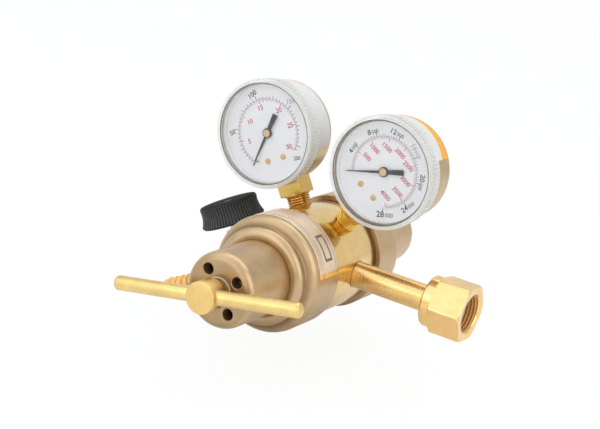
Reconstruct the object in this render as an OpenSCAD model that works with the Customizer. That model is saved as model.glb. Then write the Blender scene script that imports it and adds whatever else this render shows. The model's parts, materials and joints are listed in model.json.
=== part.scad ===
// Two-stage gas regulator with two dial gauges, an inlet nut, a tee-handle screw and an outlet needle valve.
// Millimetres. The origin is the centre of the inlet nut's mouth and +X points out of it.
// The bonnets lie along Y, with the tee handle at -Y, and +Z is up.

/* [Body] */
// Radius of the turned brass body
body_r = 29.8; // [29:0.1:31]
// Distance from the inlet axis to the body's front shoulder
body_front = 24.2; // [23:0.1:27]
// Distance from the inlet axis to the body's rear shoulder
body_rear = 16.6; // [15.5:0.1:19]
// How far each spigot lies inside the body's surface
spigot_step = 1.8; // [1.4:0.1:2.8]
// Length of each threaded spigot
spigot_len = 10; // [9:0.5:12]
// Thickness of the wall around each diaphragm's chamber
chamber_wall = 6; // [5:0.1:7]
// Depth of each pressure chamber
chamber_depth = 8; // [6:0.5:9]
// Radius of the two threaded wells that hold the nozzles
well_r = 7.5; // [7:0.1:8]
// Depth of the front well below its chamber
front_well = 18.2; // [17:0.1:20]
// Depth of the rear well below its chamber
rear_well = 21.1; // [20.5:0.1:23]
// Radius of the threaded gauge and outlet ports
port_r = 6.6; // [6.3:0.1:6.8]
// Depth of the ports for the gauges and the outlet
port_depth = 15.8; // [14.8:0.1:16.3]
// Radius of the drilled gas passages
passage_r = 2; // [1.5:0.1:2.5]
// Distance of the low-pressure passages from the chamber's wall
passage_in = 4; // [3:0.1:5]
// Radius of the slanted drilling between the two stages
cross_r = 1.5; // [1:0.1:1.6]
// Distance of the passage between the stages from the chamber's wall
cross_in = 3; // [2:0.1:4]

/* [Bonnets] */
// Gap between each bonnet's edge and the body's shoulder
bonnet_gap = 0.4; // [0.2:0.1:0.8]
// How far the front bonnet stands out over the body
front_lip = 1.7; // [1:0.1:3]
// How far the rear bonnet stands out over the body
rear_lip = 2.1; // [1:0.1:3]
// Radius of the front bonnet's small barrel
front_small_r = 19.9; // [19.5:0.1:20.4]
// Radius of the rear bonnet's small barrel
rear_small_r = 18.4; // [18:0.1:20]
// Length of the front bonnet's large barrel
front_big_len = 26.1; // [25:0.1:30]
// Length of the rear bonnet's large barrel
rear_big_len = 29.5; // [28:0.1:33]
// Whole length of the front bonnet
front_len = 68.2; // [65:0.1:76]
// Whole length of the rear bonnet
rear_len = 76; // [74:0.1:84]
// Radius of the rounded shoulder of each large barrel
shoulder_round = 5; // [4:0.1:5]
// Radius of the rounded end edge of the front bonnet
front_edge = 4.6; // [3:0.1:4.8]
// Radius of the rounded end edge of the rear bonnet
rear_edge = 4.5; // [3:0.1:5]
// How far a bonnet's wide cavity lies inside the body's surface
cavity_in = 5.8; // [5:0.1:7]
// Radius of the narrow spring space of the front bonnet
front_bore_r = 16; // [15.5:0.1:16.5]
// Radius of the narrow spring space of the rear bonnet
rear_bore_r = 14.5; // [14:0.1:15]
// Thickness of the front bonnet's end wall
front_wall = 6.2; // [5:0.1:8]
// Thickness of the rear bonnet's end wall
rear_wall = 10; // [8:0.1:12]
// Radius of the four vent holes
vent_r = 3; // [2:0.1:3.1]
// Distance from the bonnet's axis to the vent holes
vent_place = 12.43; // [12.2:0.01:12.6]
// Angle of the first vent hole above the inlet's direction
vent_angle = 38.2; // [0:0.1:89]
// Thickness of the bare plate on the front bonnet
plate_t = 0.4; // [0.3:0.1:1]
// Width of the bare plate along the bonnet
plate_w = 19; // [12:0.1:19.5]
// Angle where the bare plate starts
plate_from = 11.2; // [0:0.1:40]
// Angle that the bare plate covers
plate_sweep = 106; // [40:0.5:160]

/* [Adjusting screw] */
// Radius of the adjusting screw's thread
screw_r = 4.76; // [4.5:0.01:5]
// Radius of the screw's round head
head_r = 8.3; // [7:0.01:9]
// Length of the screw's round head
head_len = 11.2; // [11:0.01:13]
// Travel left between the head and its bushing
head_gap = 4.2; // [4:0.1:6]
// Radius of the tee bar
bar_r = 3.9; // [3:0.01:4.2]
// Length of the tee bar
bar_len = 109; // [80:0.5:140]
// Distance from the head's face to the bar's axis
bar_inset = 5.5; // [4.4:0.01:6]
// Angle of the tee bar above level
bar_angle = 11.1; // [-90:0.1:90]
// Rounding of the tee bar's ends
bar_round = 1.9; // [0.5:0.1:2.5]
// Radius of the steel bushing's flange
flange_r = 7.8; // [7.5:0.1:8.6]
// Thickness of the steel bushing's flange
flange_t = 0.8; // [0.5:0.1:1.5]
// Radius of the steel bushing's body
bushing_r = 7; // [6:0.1:7.2]

/* [Springs and diaphragms] */
// Thickness of each diaphragm
diaphragm_t = 0.8; // [0.5:0.1:1.2]
// Thickness of each slip ring
ring_t = 1; // [0.8:0.1:1.5]
// Radius of each diaphragm plate
disc_r = 15; // [14.5:0.1:17]
// Thickness of each diaphragm plate
disc_t = 3; // [2:0.1:4]
// Mean radius of the two range springs
spring_r = 11; // [10.5:0.1:11.2]
// Radius of the range springs' wire
wire_r = 1.3; // [1:0.1:1.4]
// Room between the front button and the bonnet's end wall
front_room = 10; // [8:0.1:13]
// Room between the rear button and the bonnet's end wall
rear_room = 7; // [4:0.1:10]
// Turns of each range spring
spring_turns = 7.5; // [6:0.5:8]
// Thickness of each spring button
button_t = 4; // [3:0.1:5]
// Depth of the seat that the screw's tip rests in
button_seat = 1.5; // [1:0.1:2]
// Depth that the preset screw is sunk in the rear end
preset_depth = 3; // [1:0.1:5]
// Width across flats of the preset screw's socket
preset_key = 4.76; // [4:0.01:5]

/* [Nozzles and valves] */
// Length of each nozzle inside its well
nozzle_len = 9; // [8:0.1:9.5]
// Width across flats of each nozzle
nozzle_flats = 17.5; // [17:0.1:19]
// Thickness of each nozzle's hexagon
nozzle_hex = 2.8; // [2:0.1:4]
// Radius of the bore of each nozzle
nozzle_bore = 2.2; // [2:0.1:2.6]
// Radius of each valve's stem
stem_r = 1.3; // [1:0.1:1.6]
// Radius of each valve's head
poppet_r = 4; // [3.6:0.1:4.6]
// Thickness of each valve's head
poppet_t = 2.5; // [2:0.1:3]
// Mean radius of the valve springs
small_spring_r = 3; // [2.9:0.1:3.4]
// Radius of the valve springs' wire
small_wire_r = 0.4; // [0.3:0.05:0.5]

/* [Inlet] */
// Distance from the body's axis to the nut's mouth
mouth_x = 98.2; // [92:0.1:120]
// Radius of the inlet nipple
nipple_r = 7.3; // [6.8:0.01:7.8]
// Radius of the nipple's bore
nipple_bore = 2.2; // [1.5:0.1:2.8]
// Depth of the nipple's thread in the body
inlet_depth = 14.6; // [13:0.1:14.8]
// Whole length of the inlet nut
nut_len = 24.2; // [22:0.1:28]
// Width across flats of the inlet nut
nut_flats = 28.575; // [27:0.005:32]
// Turn of the nut's hexagon about its axis
nut_turn = 58; // [0:0.1:60]
// Radius of the round collar behind the hexagon
collar_r = 14; // [13:0.1:14.2]
// Length of the round collar behind the hexagon
collar_len = 5.6; // [3:0.1:7]
// Radius of the nut's threaded hole at the crests
thread_r = 9.65; // [9.5:0.01:10.5]
// Length of the nut's threaded hole
thread_len = 8.7; // [7:0.1:9]
// Thickness of the nut's back wall
nut_wall = 8.2; // [6:0.1:9]
// Radius of the nipple's flange inside the nut
gland_r = 9.4; // [9:0.01:9.45]
// Thickness of the inlet washer
washer_t = 1.8; // [1:0.1:2]
// Radius of the hole in the inlet washer
washer_hole = 4.5; // [4:0.1:6]
// Radius of the sintered inlet filter
filter_r = 3.2; // [3:0.1:3.6]
// Length of the sintered inlet filter
filter_len = 7.2; // [5:0.1:8]

/* [Gauges] */
// Distance from the body's axis to each gauge's centre
gauge_rise = 72.5; // [70:0.1:80]
// Lean of the low-pressure gauge to the left
low_lean = 30.2; // [29:0.1:36]
// Lean of the high-pressure gauge to the right
high_lean = 31.4; // [30:0.1:36]
// Distance of the low-pressure gauge behind the inlet axis
low_place = 4.5; // [4:0.1:6]
// Distance of the high-pressure gauge behind the inlet axis
high_place = 2.6; // [2:0.1:6]
// Radius of each gauge's case
case_r = 28; // [27.5:0.1:29]
// Thickness of the case's wall
case_t = 1.1; // [0.8:0.1:1.2]
// Depth of the case behind the stem's axis
case_back = 12.5; // [11.5:0.1:14]
// Depth of the case in front of the stem's axis
case_front = 15; // [14.8:0.1:17]
// Rounding of the case's rear edge
case_round = 4.5; // [3:0.1:5]
// Width of the square socket block
socket_w = 14; // [13.5:0.1:15]
// Gap between the body and the square block of a gauge's socket
socket_gap = 5.9; // [4:0.1:8]
// Length of the socket's threaded shank
socket_thread = 13.7; // [10:0.1:14]
// Depth of the socket block inside the case
socket_in = 6.5; // [6:0.1:6.8]
// Distance from the stem's axis to the dial's back
dial_place = 11; // [10:0.1:11.4]
// Thickness of each dial
dial_t = 0.6; // [0.4:0.1:0.8]
// Gap between a dial's edge and its case
dial_gap = 0.4; // [0.2:0.1:1.5]
// Reach of the low-pressure pointer's tip
low_tip = 20.4; // [18:0.1:24]
// Reach of the high-pressure pointer's tip
high_tip = 22.7; // [18:0.1:24]
// Reach of each pointer's wide tail
pointer_tail = 11.8; // [8:0.1:12.4]
// Thickness of each pointer
pointer_t = 0.5; // [0.3:0.1:0.7]
// Thickness of each lens
lens_t = 2; // [1.5:0.1:2.5]
// How far a lens stands out over its case
lens_lip = 2.3; // [1.8:0.1:3.5]
// Length of the lens's skirt over the case
lens_skirt = 8.5; // [5:0.1:10]

/* [Gauge movement] */
// Teeth on the pinion
pinion_teeth = 12; // [12:1:12]
// Teeth on the whole circle of the sector
sector_teeth = 144; // [144:1:144]
// How far inside the case's radius the sector's axis lies
gear_in = 12.4; // [12:0.1:12.6]
// Thickness of the sector
sector_t = 1.4; // [1:0.1:2]
// Half the number of teeth that the sector carries
sector_half = 7; // [7:1:7]
// Radius of the movement's arbors
arbor_r = 0.7; // [0.6:0.01:0.8]
// Half the distance between the movement's plates
plates_half = 7; // [6.8:0.1:7.5]
// Thickness of the movement's plates
movement_t = 1.2; // [0.8:0.1:1.5]
// Half the tube's thickness
tube_half_t = 1.1; // [0.8:0.1:1.3]
// Half the tube's width
tube_half_w = 4; // [3:0.1:4.5]
// Angle that the tube covers
tube_sweep = 285; // [270:1:288]

/* [Outlet valve] */
// Angle of the outlet below level
outlet_drop = 27.7; // [24:0.1:32]
// Distance of the outlet behind the inlet axis
outlet_place = 5.2; // [4:0.1:6]
// Lean of the valve's spindle toward the reader
valve_lean = 6; // [0:0.5:12]
// Distance of the spindle's axis from the body
valve_out = 15.9; // [15.5:0.1:24]
// Radius of the valve's barrel
barrel_r = 8.5; // [8:0.1:9]
// Width across flats of the valve's hexagon
valve_flats = 19.05; // [18:0.05:20]
// Radius of the boss around the spindle
boss_r = 8; // [7.6:0.1:8.4]
// Height of the boss above the valve's axis
boss_top = 14; // [13:0.1:16]
// Radius of the spindle
spindle_r = 3; // [2.6:0.1:3.2]
// Radius of the valve's seat
seat_r = 1.8; // [1.4:0.1:2]
// Width across flats of the packing nut
packing_flats = 13.5; // [13:0.1:15]
// Top of the packing nut above the valve's axis
packing_top = 25; // [23:0.1:26]
// Bottom of the knob above the valve's axis
knob_from = 29.1; // [27:0.1:32]
// Height of the knob
knob_h = 12.7; // [12:0.1:18]
// Radius of the knob's flared lower rim
knob_r = 18.5; // [17:0.1:20]
// Radius of the knob's upper rim
knob_top_r = 16.8; // [15.5:0.1:18]
// Radius of the knob's waist
knob_waist = 16.6; // [15:0.1:17]
// Ribs around the knob
knob_ribs = 60; // [40:2:64]
// Radius of the outlet's threaded hole
outlet_r = 5.2; // [5:0.1:6]
// Distance from the spindle to the barb's hexagon
barb_from = 20.3; // [18:0.1:22]
// Width across flats of the barb's hexagon
barb_flats = 15.875; // [14:0.005:17]
// Radius of the barb's ridges
barb_r = 4.9; // [4.5:0.1:5.5]
// Depth of each ridge
barb_step = 0.9; // [0.5:0.1:1.1]
// Length of each ridge
barb_pitch = 4.4; // [3:0.1:5]
// Ridges on the barb
barb_count = 7; // [4:1:8]

/* [Clearances] */
// Clearance of a part that is screwed or pressed in
fit_gap = 0.02; // [0.01:0.01:0.05]
// Clearance of a part that turns or slides
run_gap = 0.05; // [0.03:0.01:0.08]
// Clearance of a loose thread or a free part
free_gap = 0.1; // [0.08:0.01:0.2]

/* [Hidden] */
round_fn = 96;
small_fn = 48;
over = 1;

// Distances from the inlet's plane along the body
spigot_r = body_r - spigot_step;
chamber_r = spigot_r - chamber_wall;
port_floor = body_r - port_depth;
passage_place = chamber_r - passage_in;
cross_place = chamber_r - cross_in;
front_face = body_front + spigot_len;
front_floor = front_face - chamber_depth;
rear_face = body_rear + spigot_len;
rear_floor = rear_face - chamber_depth;
front_start = body_front + bonnet_gap;
rear_start = body_rear + bonnet_gap;
front_shoulder = front_start + front_big_len;
rear_shoulder = rear_start + rear_big_len;
front_end = front_start + front_len;
rear_end = rear_start + rear_len;
clamp_t = diaphragm_t + ring_t;
front_disc = front_face + diaphragm_t;
rear_disc = rear_face + diaphragm_t;
front_button = front_end - front_wall - front_room - button_t;
rear_button = rear_end - rear_wall - rear_room - button_t;
front_spring = front_button - front_disc - disc_t;
rear_spring = rear_button - rear_disc - disc_t;
button_r = spring_r + wire_r + 0.3;
button_boss = spring_r - wire_r - 1.5;
front_tip = front_button + button_t - button_seat;
rear_tip = rear_button + button_t - button_seat;
head_from = front_end + flange_t + head_gap;
head_end = head_from + head_len;
bar_place = head_end - bar_inset;

// Bonnets
front_big_r = body_r + front_lip;
rear_big_r = body_r + rear_lip;
cavity_r = body_r - cavity_in;

// Shoulder between the two barrels of a bonnet, for a step of shoulder_step between them
shoulder_step = 11.6;
groove_in = 4.1;
groove_deep = 4.8;
groove_to = 1;
roll_in = 9.3;
roll_from = 1.5;
roll_round = 4.5;
neck_from = 6.3;
neck_round = 3;

// Inlet
nut_from = mouth_x - nut_len;
gland_from = nut_from + nut_wall;
gland_t = nut_len - nut_wall - thread_len - washer_t - 0.5;
washer_from = gland_from + gland_t;
filter_from = washer_from - filter_len - 1;
counter_x = body_r - 1.8;

// Gauges
dial_top = dial_place + dial_t;
pointer_place = dial_top + 0.9;
hub_top = pointer_place + pointer_t + 0.6;
lens_back = case_front;
lens_front = case_front + lens_t;
dial_r = case_r - case_t - dial_gap;
lens_r = case_r + lens_lip;
block_bottom = body_r + socket_gap - gauge_rise;
block_top = socket_in - case_r;
screw_at = 15.7;
screw_angle = 161;
stop_at = 17.3;
stop_angle = 140;
rest_angle = 135;
pin_r = 0.6;
sector_swing = 22.5;
tube_r = case_r - socket_in;
tube_end = 262;
gear_centres = case_r - gear_in;
gear_module = 2 * gear_centres / (pinion_teeth + sector_teeth);
pressure_angle = 20;
sector_pitch = gear_module * sector_teeth / 2;
pinion_pitch = gear_module * pinion_teeth / 2;
tail_x = 5;
tail_y = -3.5;
tip_angle = tube_end - tube_sweep;
lug_angle = tip_angle - 14;
lug_r = tube_r - 1;
frame_top = 3.5;
frame_half = 9.8;
leg_half = 6;
pillar_r = 1.5;
hub_r = 2.4;
arm_half = 1.4;
tail_half = 1;
eye_r = 1.3;
rim_depth = 3.2;
lug_x = lug_r * cos(lug_angle);
lug_y = lug_r * sin(lug_angle);
sector_from = -0.2;
link_from = sector_from + sector_t + 0.1;
link_t = 0.8;

// Outlet valve
valve_place = body_r + valve_out;
thread_from = port_floor + 7;
valve_hex_from = body_r + 0.7;
valve_hex_len = 6.5;
seat_top = 1.5;
gland_bottom = 7;
barb_place = valve_place + barb_from;
barb_hex_len = 6;
barb_start = barb_place + barb_hex_len + 3;
barb_len = barb_count * barb_pitch;

// Points along an arc
function arc(x, y, r, from, to, n = 8) =
  [for (i = [0:n]) [x + r * cos(from + (to - from) * i / n), y + r * sin(from + (to - from) * i / n)]];

// Height of a coil's centre line, with a closed turn at each end
function coil_height(t, turns, len, wire) =
  let(dead = 2.1 * wire, rise = (len - 2 * wire - 2 * dead) / (turns - 2))
  t < 1 ? wire + dead * t
  : t > turns - 1 ? len - wire - dead * (turns - t)
  : wire + dead + rise * (t - 1);

function coil_points(mid, wire, len, turns, sides, steps) =
  [for (i = [0:turns * steps])
    for (j = [0:sides - 1])
      let(
        a = 360 * i / steps,
        b = 360 * j / sides + 180 / sides,
        r = mid + wire * cos(b),
        z = coil_height(i / steps, turns, len, wire) + wire * cos(180 / sides) * sin(b)
      )
      [r * cos(a), r * sin(a), z]];

function coil_faces(rings, sides) = concat(
  [[for (j = [sides - 1:-1:0]) j]],
  [[for (j = [0:sides - 1]) rings * sides + j]],
  [for (i = [0:rings - 1])
    for (j = [0:sides - 1])
      let(k = (j + 1) % sides)
      [i * sides + j, i * sides + k, (i + 1) * sides + k]],
  [for (i = [0:rings - 1])
    for (j = [0:sides - 1])
      let(k = (j + 1) % sides)
      [i * sides + j, (i + 1) * sides + k, (i + 1) * sides + j]]
);

// Compression spring that stands on z = 0
module coil(mid, wire, len, turns, sides, steps) {
  polyhedron(
    points = coil_points(mid, wire, len, turns, sides, steps),
    faces = coil_faces(turns * steps, sides),
    convexity = 10
  );
}

// Revolves points given as radius and distance
module turned(points, fn = round_fn) {
  rotate_extrude($fn = fn)
    polygon(points);
}

module ring(outer, inner, h, fn = round_fn) {
  turned([[inner, 0], [outer, 0], [outer, h], [inner, h]], fn);
}

module hexagon(flats, h) {
  cylinder(r = flats / 2 / cos(30), h = h, $fn = 6);
}

// Frames of the groups of pieces
module at_body() {
  translate([-mouth_x, 0, 0])
    children();
}

module to_front() {
  at_body()
    rotate([90, 0, 0])
      children();
}

module to_rear() {
  at_body()
    rotate([-90, 0, 0])
      children();
}

module to_inlet() {
  at_body()
    rotate([0, 90, 0])
      children();
}

module to_low() {
  at_body()
    translate([0, low_place, 0])
      rotate([0, -low_lean, 0])
        rotate([90, 0, 0])
          translate([0, gauge_rise, 0])
            children();
}

module to_high() {
  at_body()
    translate([0, high_place, 0])
      rotate([0, high_lean, 0])
        rotate([90, 0, 0])
          translate([0, gauge_rise, 0])
            children();
}

module to_valve() {
  at_body()
    translate([0, outlet_place, 0])
      rotate([0, -outlet_drop, 0])
        rotate([valve_lean, 0, 0])
          children();
}

module to_spindle() {
  to_valve()
    translate([-valve_place, 0, 0])
      children();
}

module to_port() {
  rotate([0, -90, 0])
    children();
}

// Body, with both chambers, both wells, the ports and the drilled passages
module body_blank() {
  rotate([-90, 0, 0])
    turned([
      [0, -front_face],
      [spigot_r - 1, -front_face],
      [spigot_r, 1 - front_face],
      [spigot_r, -body_front],
      [body_r - 0.4, -body_front],
      [body_r, 0.4 - body_front],
      [body_r, body_rear - 0.4],
      [body_r - 0.4, body_rear],
      [spigot_r, body_rear],
      [spigot_r, rear_face - 1],
      [spigot_r - 1, rear_face],
      [0, rear_face]
    ]);
}

module stage_hollow(floor_at, well) {
  translate([0, 0, floor_at])
    cylinder(r = chamber_r, h = chamber_depth + over, $fn = round_fn);
  translate([0, 0, floor_at - well])
    cylinder(r = well_r, h = well + over, $fn = small_fn);
}

module drill(from, to, r) {
  run = to - from;
  length = norm(run);
  translate(from)
    rotate([0, acos(run[2] / length), atan2(run[1], run[0])])
      cylinder(r = r, h = length, $fn = small_fn);
}

module body() {
  cross_end = [0, front_well - front_floor - cross_r, -well_r];
  cross_top = [0, rear_floor, -cross_place];
  cross_run = (cross_top - cross_end) / norm(cross_top - cross_end);
  color("goldenrod")
    at_body()
      difference() {
        body_blank();
        rotate([90, 0, 0])
          stage_hollow(front_floor, front_well);
        rotate([-90, 0, 0])
          stage_hollow(rear_floor, rear_well);
        drill(cross_end - 2 * cross_run, cross_top + 2 * cross_run, cross_r);
        // Inlet
        rotate([0, 90, 0]) {
          cylinder(r = nipple_bore, h = body_r, $fn = small_fn);
          translate([0, 0, body_r - inlet_depth])
            cylinder(r = port_r, h = inlet_depth + over, $fn = small_fn);
          translate([0, 0, counter_x])
            cylinder(r = nipple_r + fit_gap, h = body_r, $fn = small_fn);
        }
        // High-pressure gauge
        translate([0, high_place, 0])
          rotate([0, high_lean, 0]) {
            cylinder(r = passage_r, h = body_r, $fn = small_fn);
            translate([0, 0, port_floor])
              cylinder(r = port_r, h = body_r, $fn = small_fn);
          }
        // Low-pressure gauge
        translate([0, low_place, 0])
          rotate([0, -low_lean, 0]) {
            translate([0, 0, port_floor])
              cylinder(r = port_r, h = body_r, $fn = small_fn);
            translate([0, 0, passage_place])
              rotate([90, 0, 0])
                cylinder(r = passage_r, h = low_place + front_floor + over, $fn = small_fn);
          }
        // Outlet
        translate([0, outlet_place, 0])
          rotate([0, -outlet_drop, 0]) {
            to_port()
              translate([0, 0, port_floor])
                cylinder(r = port_r, h = body_r, $fn = small_fn);
            translate([-passage_place, 0, 0])
              rotate([90, 0, 0])
                cylinder(r = passage_r, h = outlet_place + front_floor + over, $fn = small_fn);
          }
      }
}

// Outline of a bonnet from its skirt to its end, then back along its inside
function bonnet_outline(big, small, start, lead, lead_len, shoulder, end, edge, clamp, bore, wall, hole) =
  let(k = (big - small) / shoulder_step)
  concat(
    [[lead, start]],
    [[lead, start + lead_len - 0.5]],
    [[big, start + lead_len]],
    arc(big - shoulder_round, shoulder - shoulder_round, shoulder_round, 0, 70),
    [[big - k * groove_in, shoulder]],
    [[big - k * groove_deep, shoulder + k * groove_to]],
    arc(big - k * roll_in, shoulder + k * roll_from, k * roll_round, 5, 80),
    arc(small + k * neck_round, shoulder + k * (neck_from + neck_round), k * neck_round, 270, 180),
    arc(small - edge, end - edge, edge, 0, 90),
    [[hole, end]],
    [[hole, end - wall]],
    [[bore, end - wall]],
    [[bore, shoulder + 5.3]],
    [[cavity_r, shoulder - 3.7]],
    [[cavity_r, clamp]],
    [[spigot_r + free_gap, clamp]],
    [[spigot_r + free_gap, start]]
  );

module front_bonnet() {
  color("tan")
    to_front()
      difference() {
        turned(bonnet_outline(front_big_r, front_small_r, front_start, front_big_r - 0.5, 0.8,
          front_shoulder, front_end, front_edge, front_face + clamp_t, front_bore_r, front_wall,
          bushing_r + fit_gap));
        for (i = [0:3])
          rotate([0, 0, vent_angle + 90 * i])
            translate([vent_place, 0, front_end - front_wall - over])
              cylinder(r = vent_r, h = front_wall + 2 * over, $fn = small_fn);
      }
}

module rear_bonnet() {
  color("tan")
    to_rear()
      turned(bonnet_outline(rear_big_r, rear_small_r, rear_start, body_r - 0.4, 4.6,
        rear_shoulder, rear_end, rear_edge, rear_face + clamp_t, rear_bore_r, rear_wall,
        screw_r + fit_gap));
}

module name_plate() {
  middle = (front_start + 0.8 + front_shoulder - shoulder_round) / 2;
  color("peachpuff")
    to_front()
      rotate([0, 0, plate_from])
        translate([0, 0, middle - plate_w / 2])
          rotate_extrude(angle = plate_sweep, $fn = round_fn)
            translate([front_big_r, 0])
              square([plate_t, plate_w]);
}

// Adjusting screw, its tee bar and the steel bushing that it runs in
module adjusting_screw() {
  color("khaki")
    to_front()
      difference() {
        turned([
          [0, front_tip],
          [2, front_tip],
          [screw_r, front_tip + 2.4],
          [screw_r, head_from],
          [head_r - 0.6, head_from],
          [head_r, head_from + 0.6],
          [head_r, head_end - 0.4],
          [head_r - 0.4, head_end],
          [0, head_end]
        ], small_fn);
        translate([0, 0, bar_place])
          rotate([0, 0, bar_angle])
            rotate([0, 90, 0])
              cylinder(r = bar_r + fit_gap, h = 4 * head_r, center = true, $fn = small_fn);
      }
}

module tee_bar() {
  color("khaki")
    to_front()
      translate([0, 0, bar_place])
        rotate([0, 0, bar_angle])
          rotate([0, 90, 0])
            turned(concat(
              [[0, -bar_len / 2]],
              arc(bar_r - bar_round, bar_round - bar_len / 2, bar_round, -90, 0, 5),
              arc(bar_r - bar_round, bar_len / 2 - bar_round, bar_round, 0, 90, 5),
              [[0, bar_len / 2]]
            ), small_fn);
}

module screw_bushing() {
  color("silver")
    to_front()
      turned([
        [screw_r + run_gap, front_end - front_wall],
        [bushing_r, front_end - front_wall],
        [bushing_r, front_end],
        [flange_r, front_end],
        [flange_r, front_end + flange_t - 0.3],
        [flange_r - 0.3, front_end + flange_t],
        [screw_r + 1, front_end + flange_t],
        [screw_r + run_gap, front_end + flange_t - 1]
      ], small_fn);
}

// Pieces that the two stages share, each along its own side of the body
module spring_button(at) {
  translate([0, 0, at])
    turned([
      [0, -2],
      [button_boss - 0.6, -2],
      [button_boss, -1.4],
      [button_boss, 0],
      [button_r, 0],
      [button_r, button_t - 0.6],
      [button_r - 0.6, button_t],
      [5, button_t],
      [2, button_t - button_seat],
      [0, button_t - button_seat]
    ], small_fn);
}

module diaphragm_plate(at) {
  translate([0, 0, at])
    turned([
      [0, 0],
      [disc_r - 0.6, 0],
      [disc_r, 0.6],
      [disc_r, disc_t],
      [button_boss, disc_t],
      [button_boss, disc_t + 1.9],
      [button_boss - 0.6, disc_t + 2.5],
      [0, disc_t + 2.5]
    ], small_fn);
}

module diaphragm(at) {
  translate([0, 0, at])
    cylinder(r = spigot_r - 0.2, h = diaphragm_t, $fn = round_fn);
}

module slip_ring(at) {
  translate([0, 0, at + diaphragm_t])
    ring(spigot_r - 0.2, chamber_r, ring_t);
}

module nozzle(floor_at) {
  difference() {
    union() {
      translate([0, 0, floor_at])
        hexagon(nozzle_flats, nozzle_hex);
      translate([0, 0, floor_at - nozzle_len + 0.5])
        cylinder(r = well_r - fit_gap, h = nozzle_len - 0.5, $fn = small_fn);
      translate([0, 0, floor_at - nozzle_len])
        cylinder(r = nozzle_bore + 0.6, h = 1, $fn = small_fn);
    }
    translate([0, 0, floor_at - nozzle_len - over])
      cylinder(r = nozzle_bore, h = nozzle_len + nozzle_hex + 2 * over, $fn = small_fn);
  }
}

module stage_valve(floor_at, face_at) {
  head_at = floor_at - nozzle_len;
  turned([
    [0, head_at - poppet_t - 2],
    [small_spring_r - small_wire_r - 0.4, head_at - poppet_t - 2],
    [small_spring_r - small_wire_r - 0.4, head_at - poppet_t],
    [poppet_r, head_at - poppet_t],
    [poppet_r, head_at],
    [stem_r, head_at],
    [stem_r, face_at - 0.3],
    [stem_r - 0.3, face_at],
    [0, face_at]
  ], small_fn);
}

module valve_spring(floor_at, well) {
  translate([0, 0, floor_at - well])
    coil(small_spring_r, small_wire_r, well - nozzle_len - poppet_t, 6, 6, 12);
}

module front_spring_button() {
  color("darkkhaki")
    to_front()
      spring_button(front_button);
}

module front_range_spring() {
  color("gray")
    to_front()
      translate([0, 0, front_disc + disc_t])
        coil(spring_r, wire_r, front_spring, spring_turns, 8, 16);
}

module front_diaphragm_plate() {
  color("darkkhaki")
    to_front()
      diaphragm_plate(front_disc);
}

module front_diaphragm() {
  color("dimgray")
    to_front()
      diaphragm(front_face);
}

module front_slip_ring() {
  color("silver")
    to_front()
      slip_ring(front_face);
}

module front_nozzle() {
  color("gold")
    to_front()
      nozzle(front_floor);
}

module front_valve() {
  color("lightgray")
    to_front()
      stage_valve(front_floor, front_face);
}

module front_valve_spring() {
  color("gray")
    to_front()
      valve_spring(front_floor, front_well);
}

module rear_preset_screw() {
  top = rear_end - preset_depth;
  color("silver")
    to_rear()
      difference() {
        turned([
          [0, rear_tip],
          [2, rear_tip],
          [screw_r, rear_tip + 2.4],
          [screw_r, top - 0.6],
          [screw_r - 0.6, top],
          [0, top]
        ], small_fn);
        translate([0, 0, top - 5])
          hexagon(preset_key, 5 + over);
      }
}

module rear_spring_button() {
  color("darkkhaki")
    to_rear()
      spring_button(rear_button);
}

module rear_range_spring() {
  color("gray")
    to_rear()
      translate([0, 0, rear_disc + disc_t])
        coil(spring_r, wire_r, rear_spring, spring_turns, 8, 16);
}

module rear_diaphragm_plate() {
  color("darkkhaki")
    to_rear()
      diaphragm_plate(rear_disc);
}

module rear_diaphragm() {
  color("dimgray")
    to_rear()
      diaphragm(rear_face);
}

module rear_slip_ring() {
  color("silver")
    to_rear()
      slip_ring(rear_face);
}

module rear_nozzle() {
  color("gold")
    to_rear()
      nozzle(rear_floor);
}

module rear_valve() {
  color("lightgray")
    to_rear()
      stage_valve(rear_floor, rear_face);
}

module rear_valve_spring() {
  color("gray")
    to_rear()
      valve_spring(rear_floor, rear_well);
}

// Inlet nipple, nut, filter and washer
module inlet_nipple() {
  color("khaki")
    to_inlet()
      turned([
        [nipple_bore, body_r - inlet_depth],
        [port_r - 0.8, body_r - inlet_depth],
        [port_r - fit_gap, body_r - inlet_depth + 0.8],
        [port_r - fit_gap, counter_x],
        [nipple_r, counter_x],
        [nipple_r, gland_from],
        [gland_r, gland_from],
        [gland_r, washer_from - 0.4],
        [gland_r - 0.4, washer_from],
        [filter_r + fit_gap, washer_from],
        [filter_r + fit_gap, filter_from],
        [nipple_bore, filter_from]
      ], small_fn);
}

module inlet_nut() {
  corner = nut_flats / 2 / cos(30);
  color("khaki")
    to_inlet()
      difference() {
        union() {
          intersection() {
            translate([0, 0, nut_from + collar_len])
              rotate([0, 0, nut_turn + 90])
                hexagon(nut_flats, nut_len - collar_len);
            turned([
              [0, nut_from],
              [corner - 1.2, nut_from + collar_len],
              [corner, nut_from + collar_len + 1],
              [corner, mouth_x - 2],
              [corner - 0.5, mouth_x - 0.8],
              [corner - 1.4, mouth_x],
              [0, mouth_x]
            ]);
          }
          turned(concat(
            [[0, nut_from]],
            arc(collar_r - 1.5, nut_from + 1.5, 1.5, -90, 0, 4),
            [[collar_r, nut_from + collar_len + 0.5]],
            [[0, nut_from + collar_len + 0.5]]
          ));
        }
        translate([0, 0, nut_from - over])
          cylinder(r = nipple_r + free_gap, h = nut_len, $fn = small_fn);
        translate([0, 0, gland_from])
          cylinder(r = thread_r + 0.9, h = nut_len - nut_wall - thread_len, $fn = small_fn);
        translate([0, 0, mouth_x - thread_len - over])
          cylinder(r = thread_r, h = thread_len + 2 * over, $fn = small_fn);
      }
}

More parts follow.
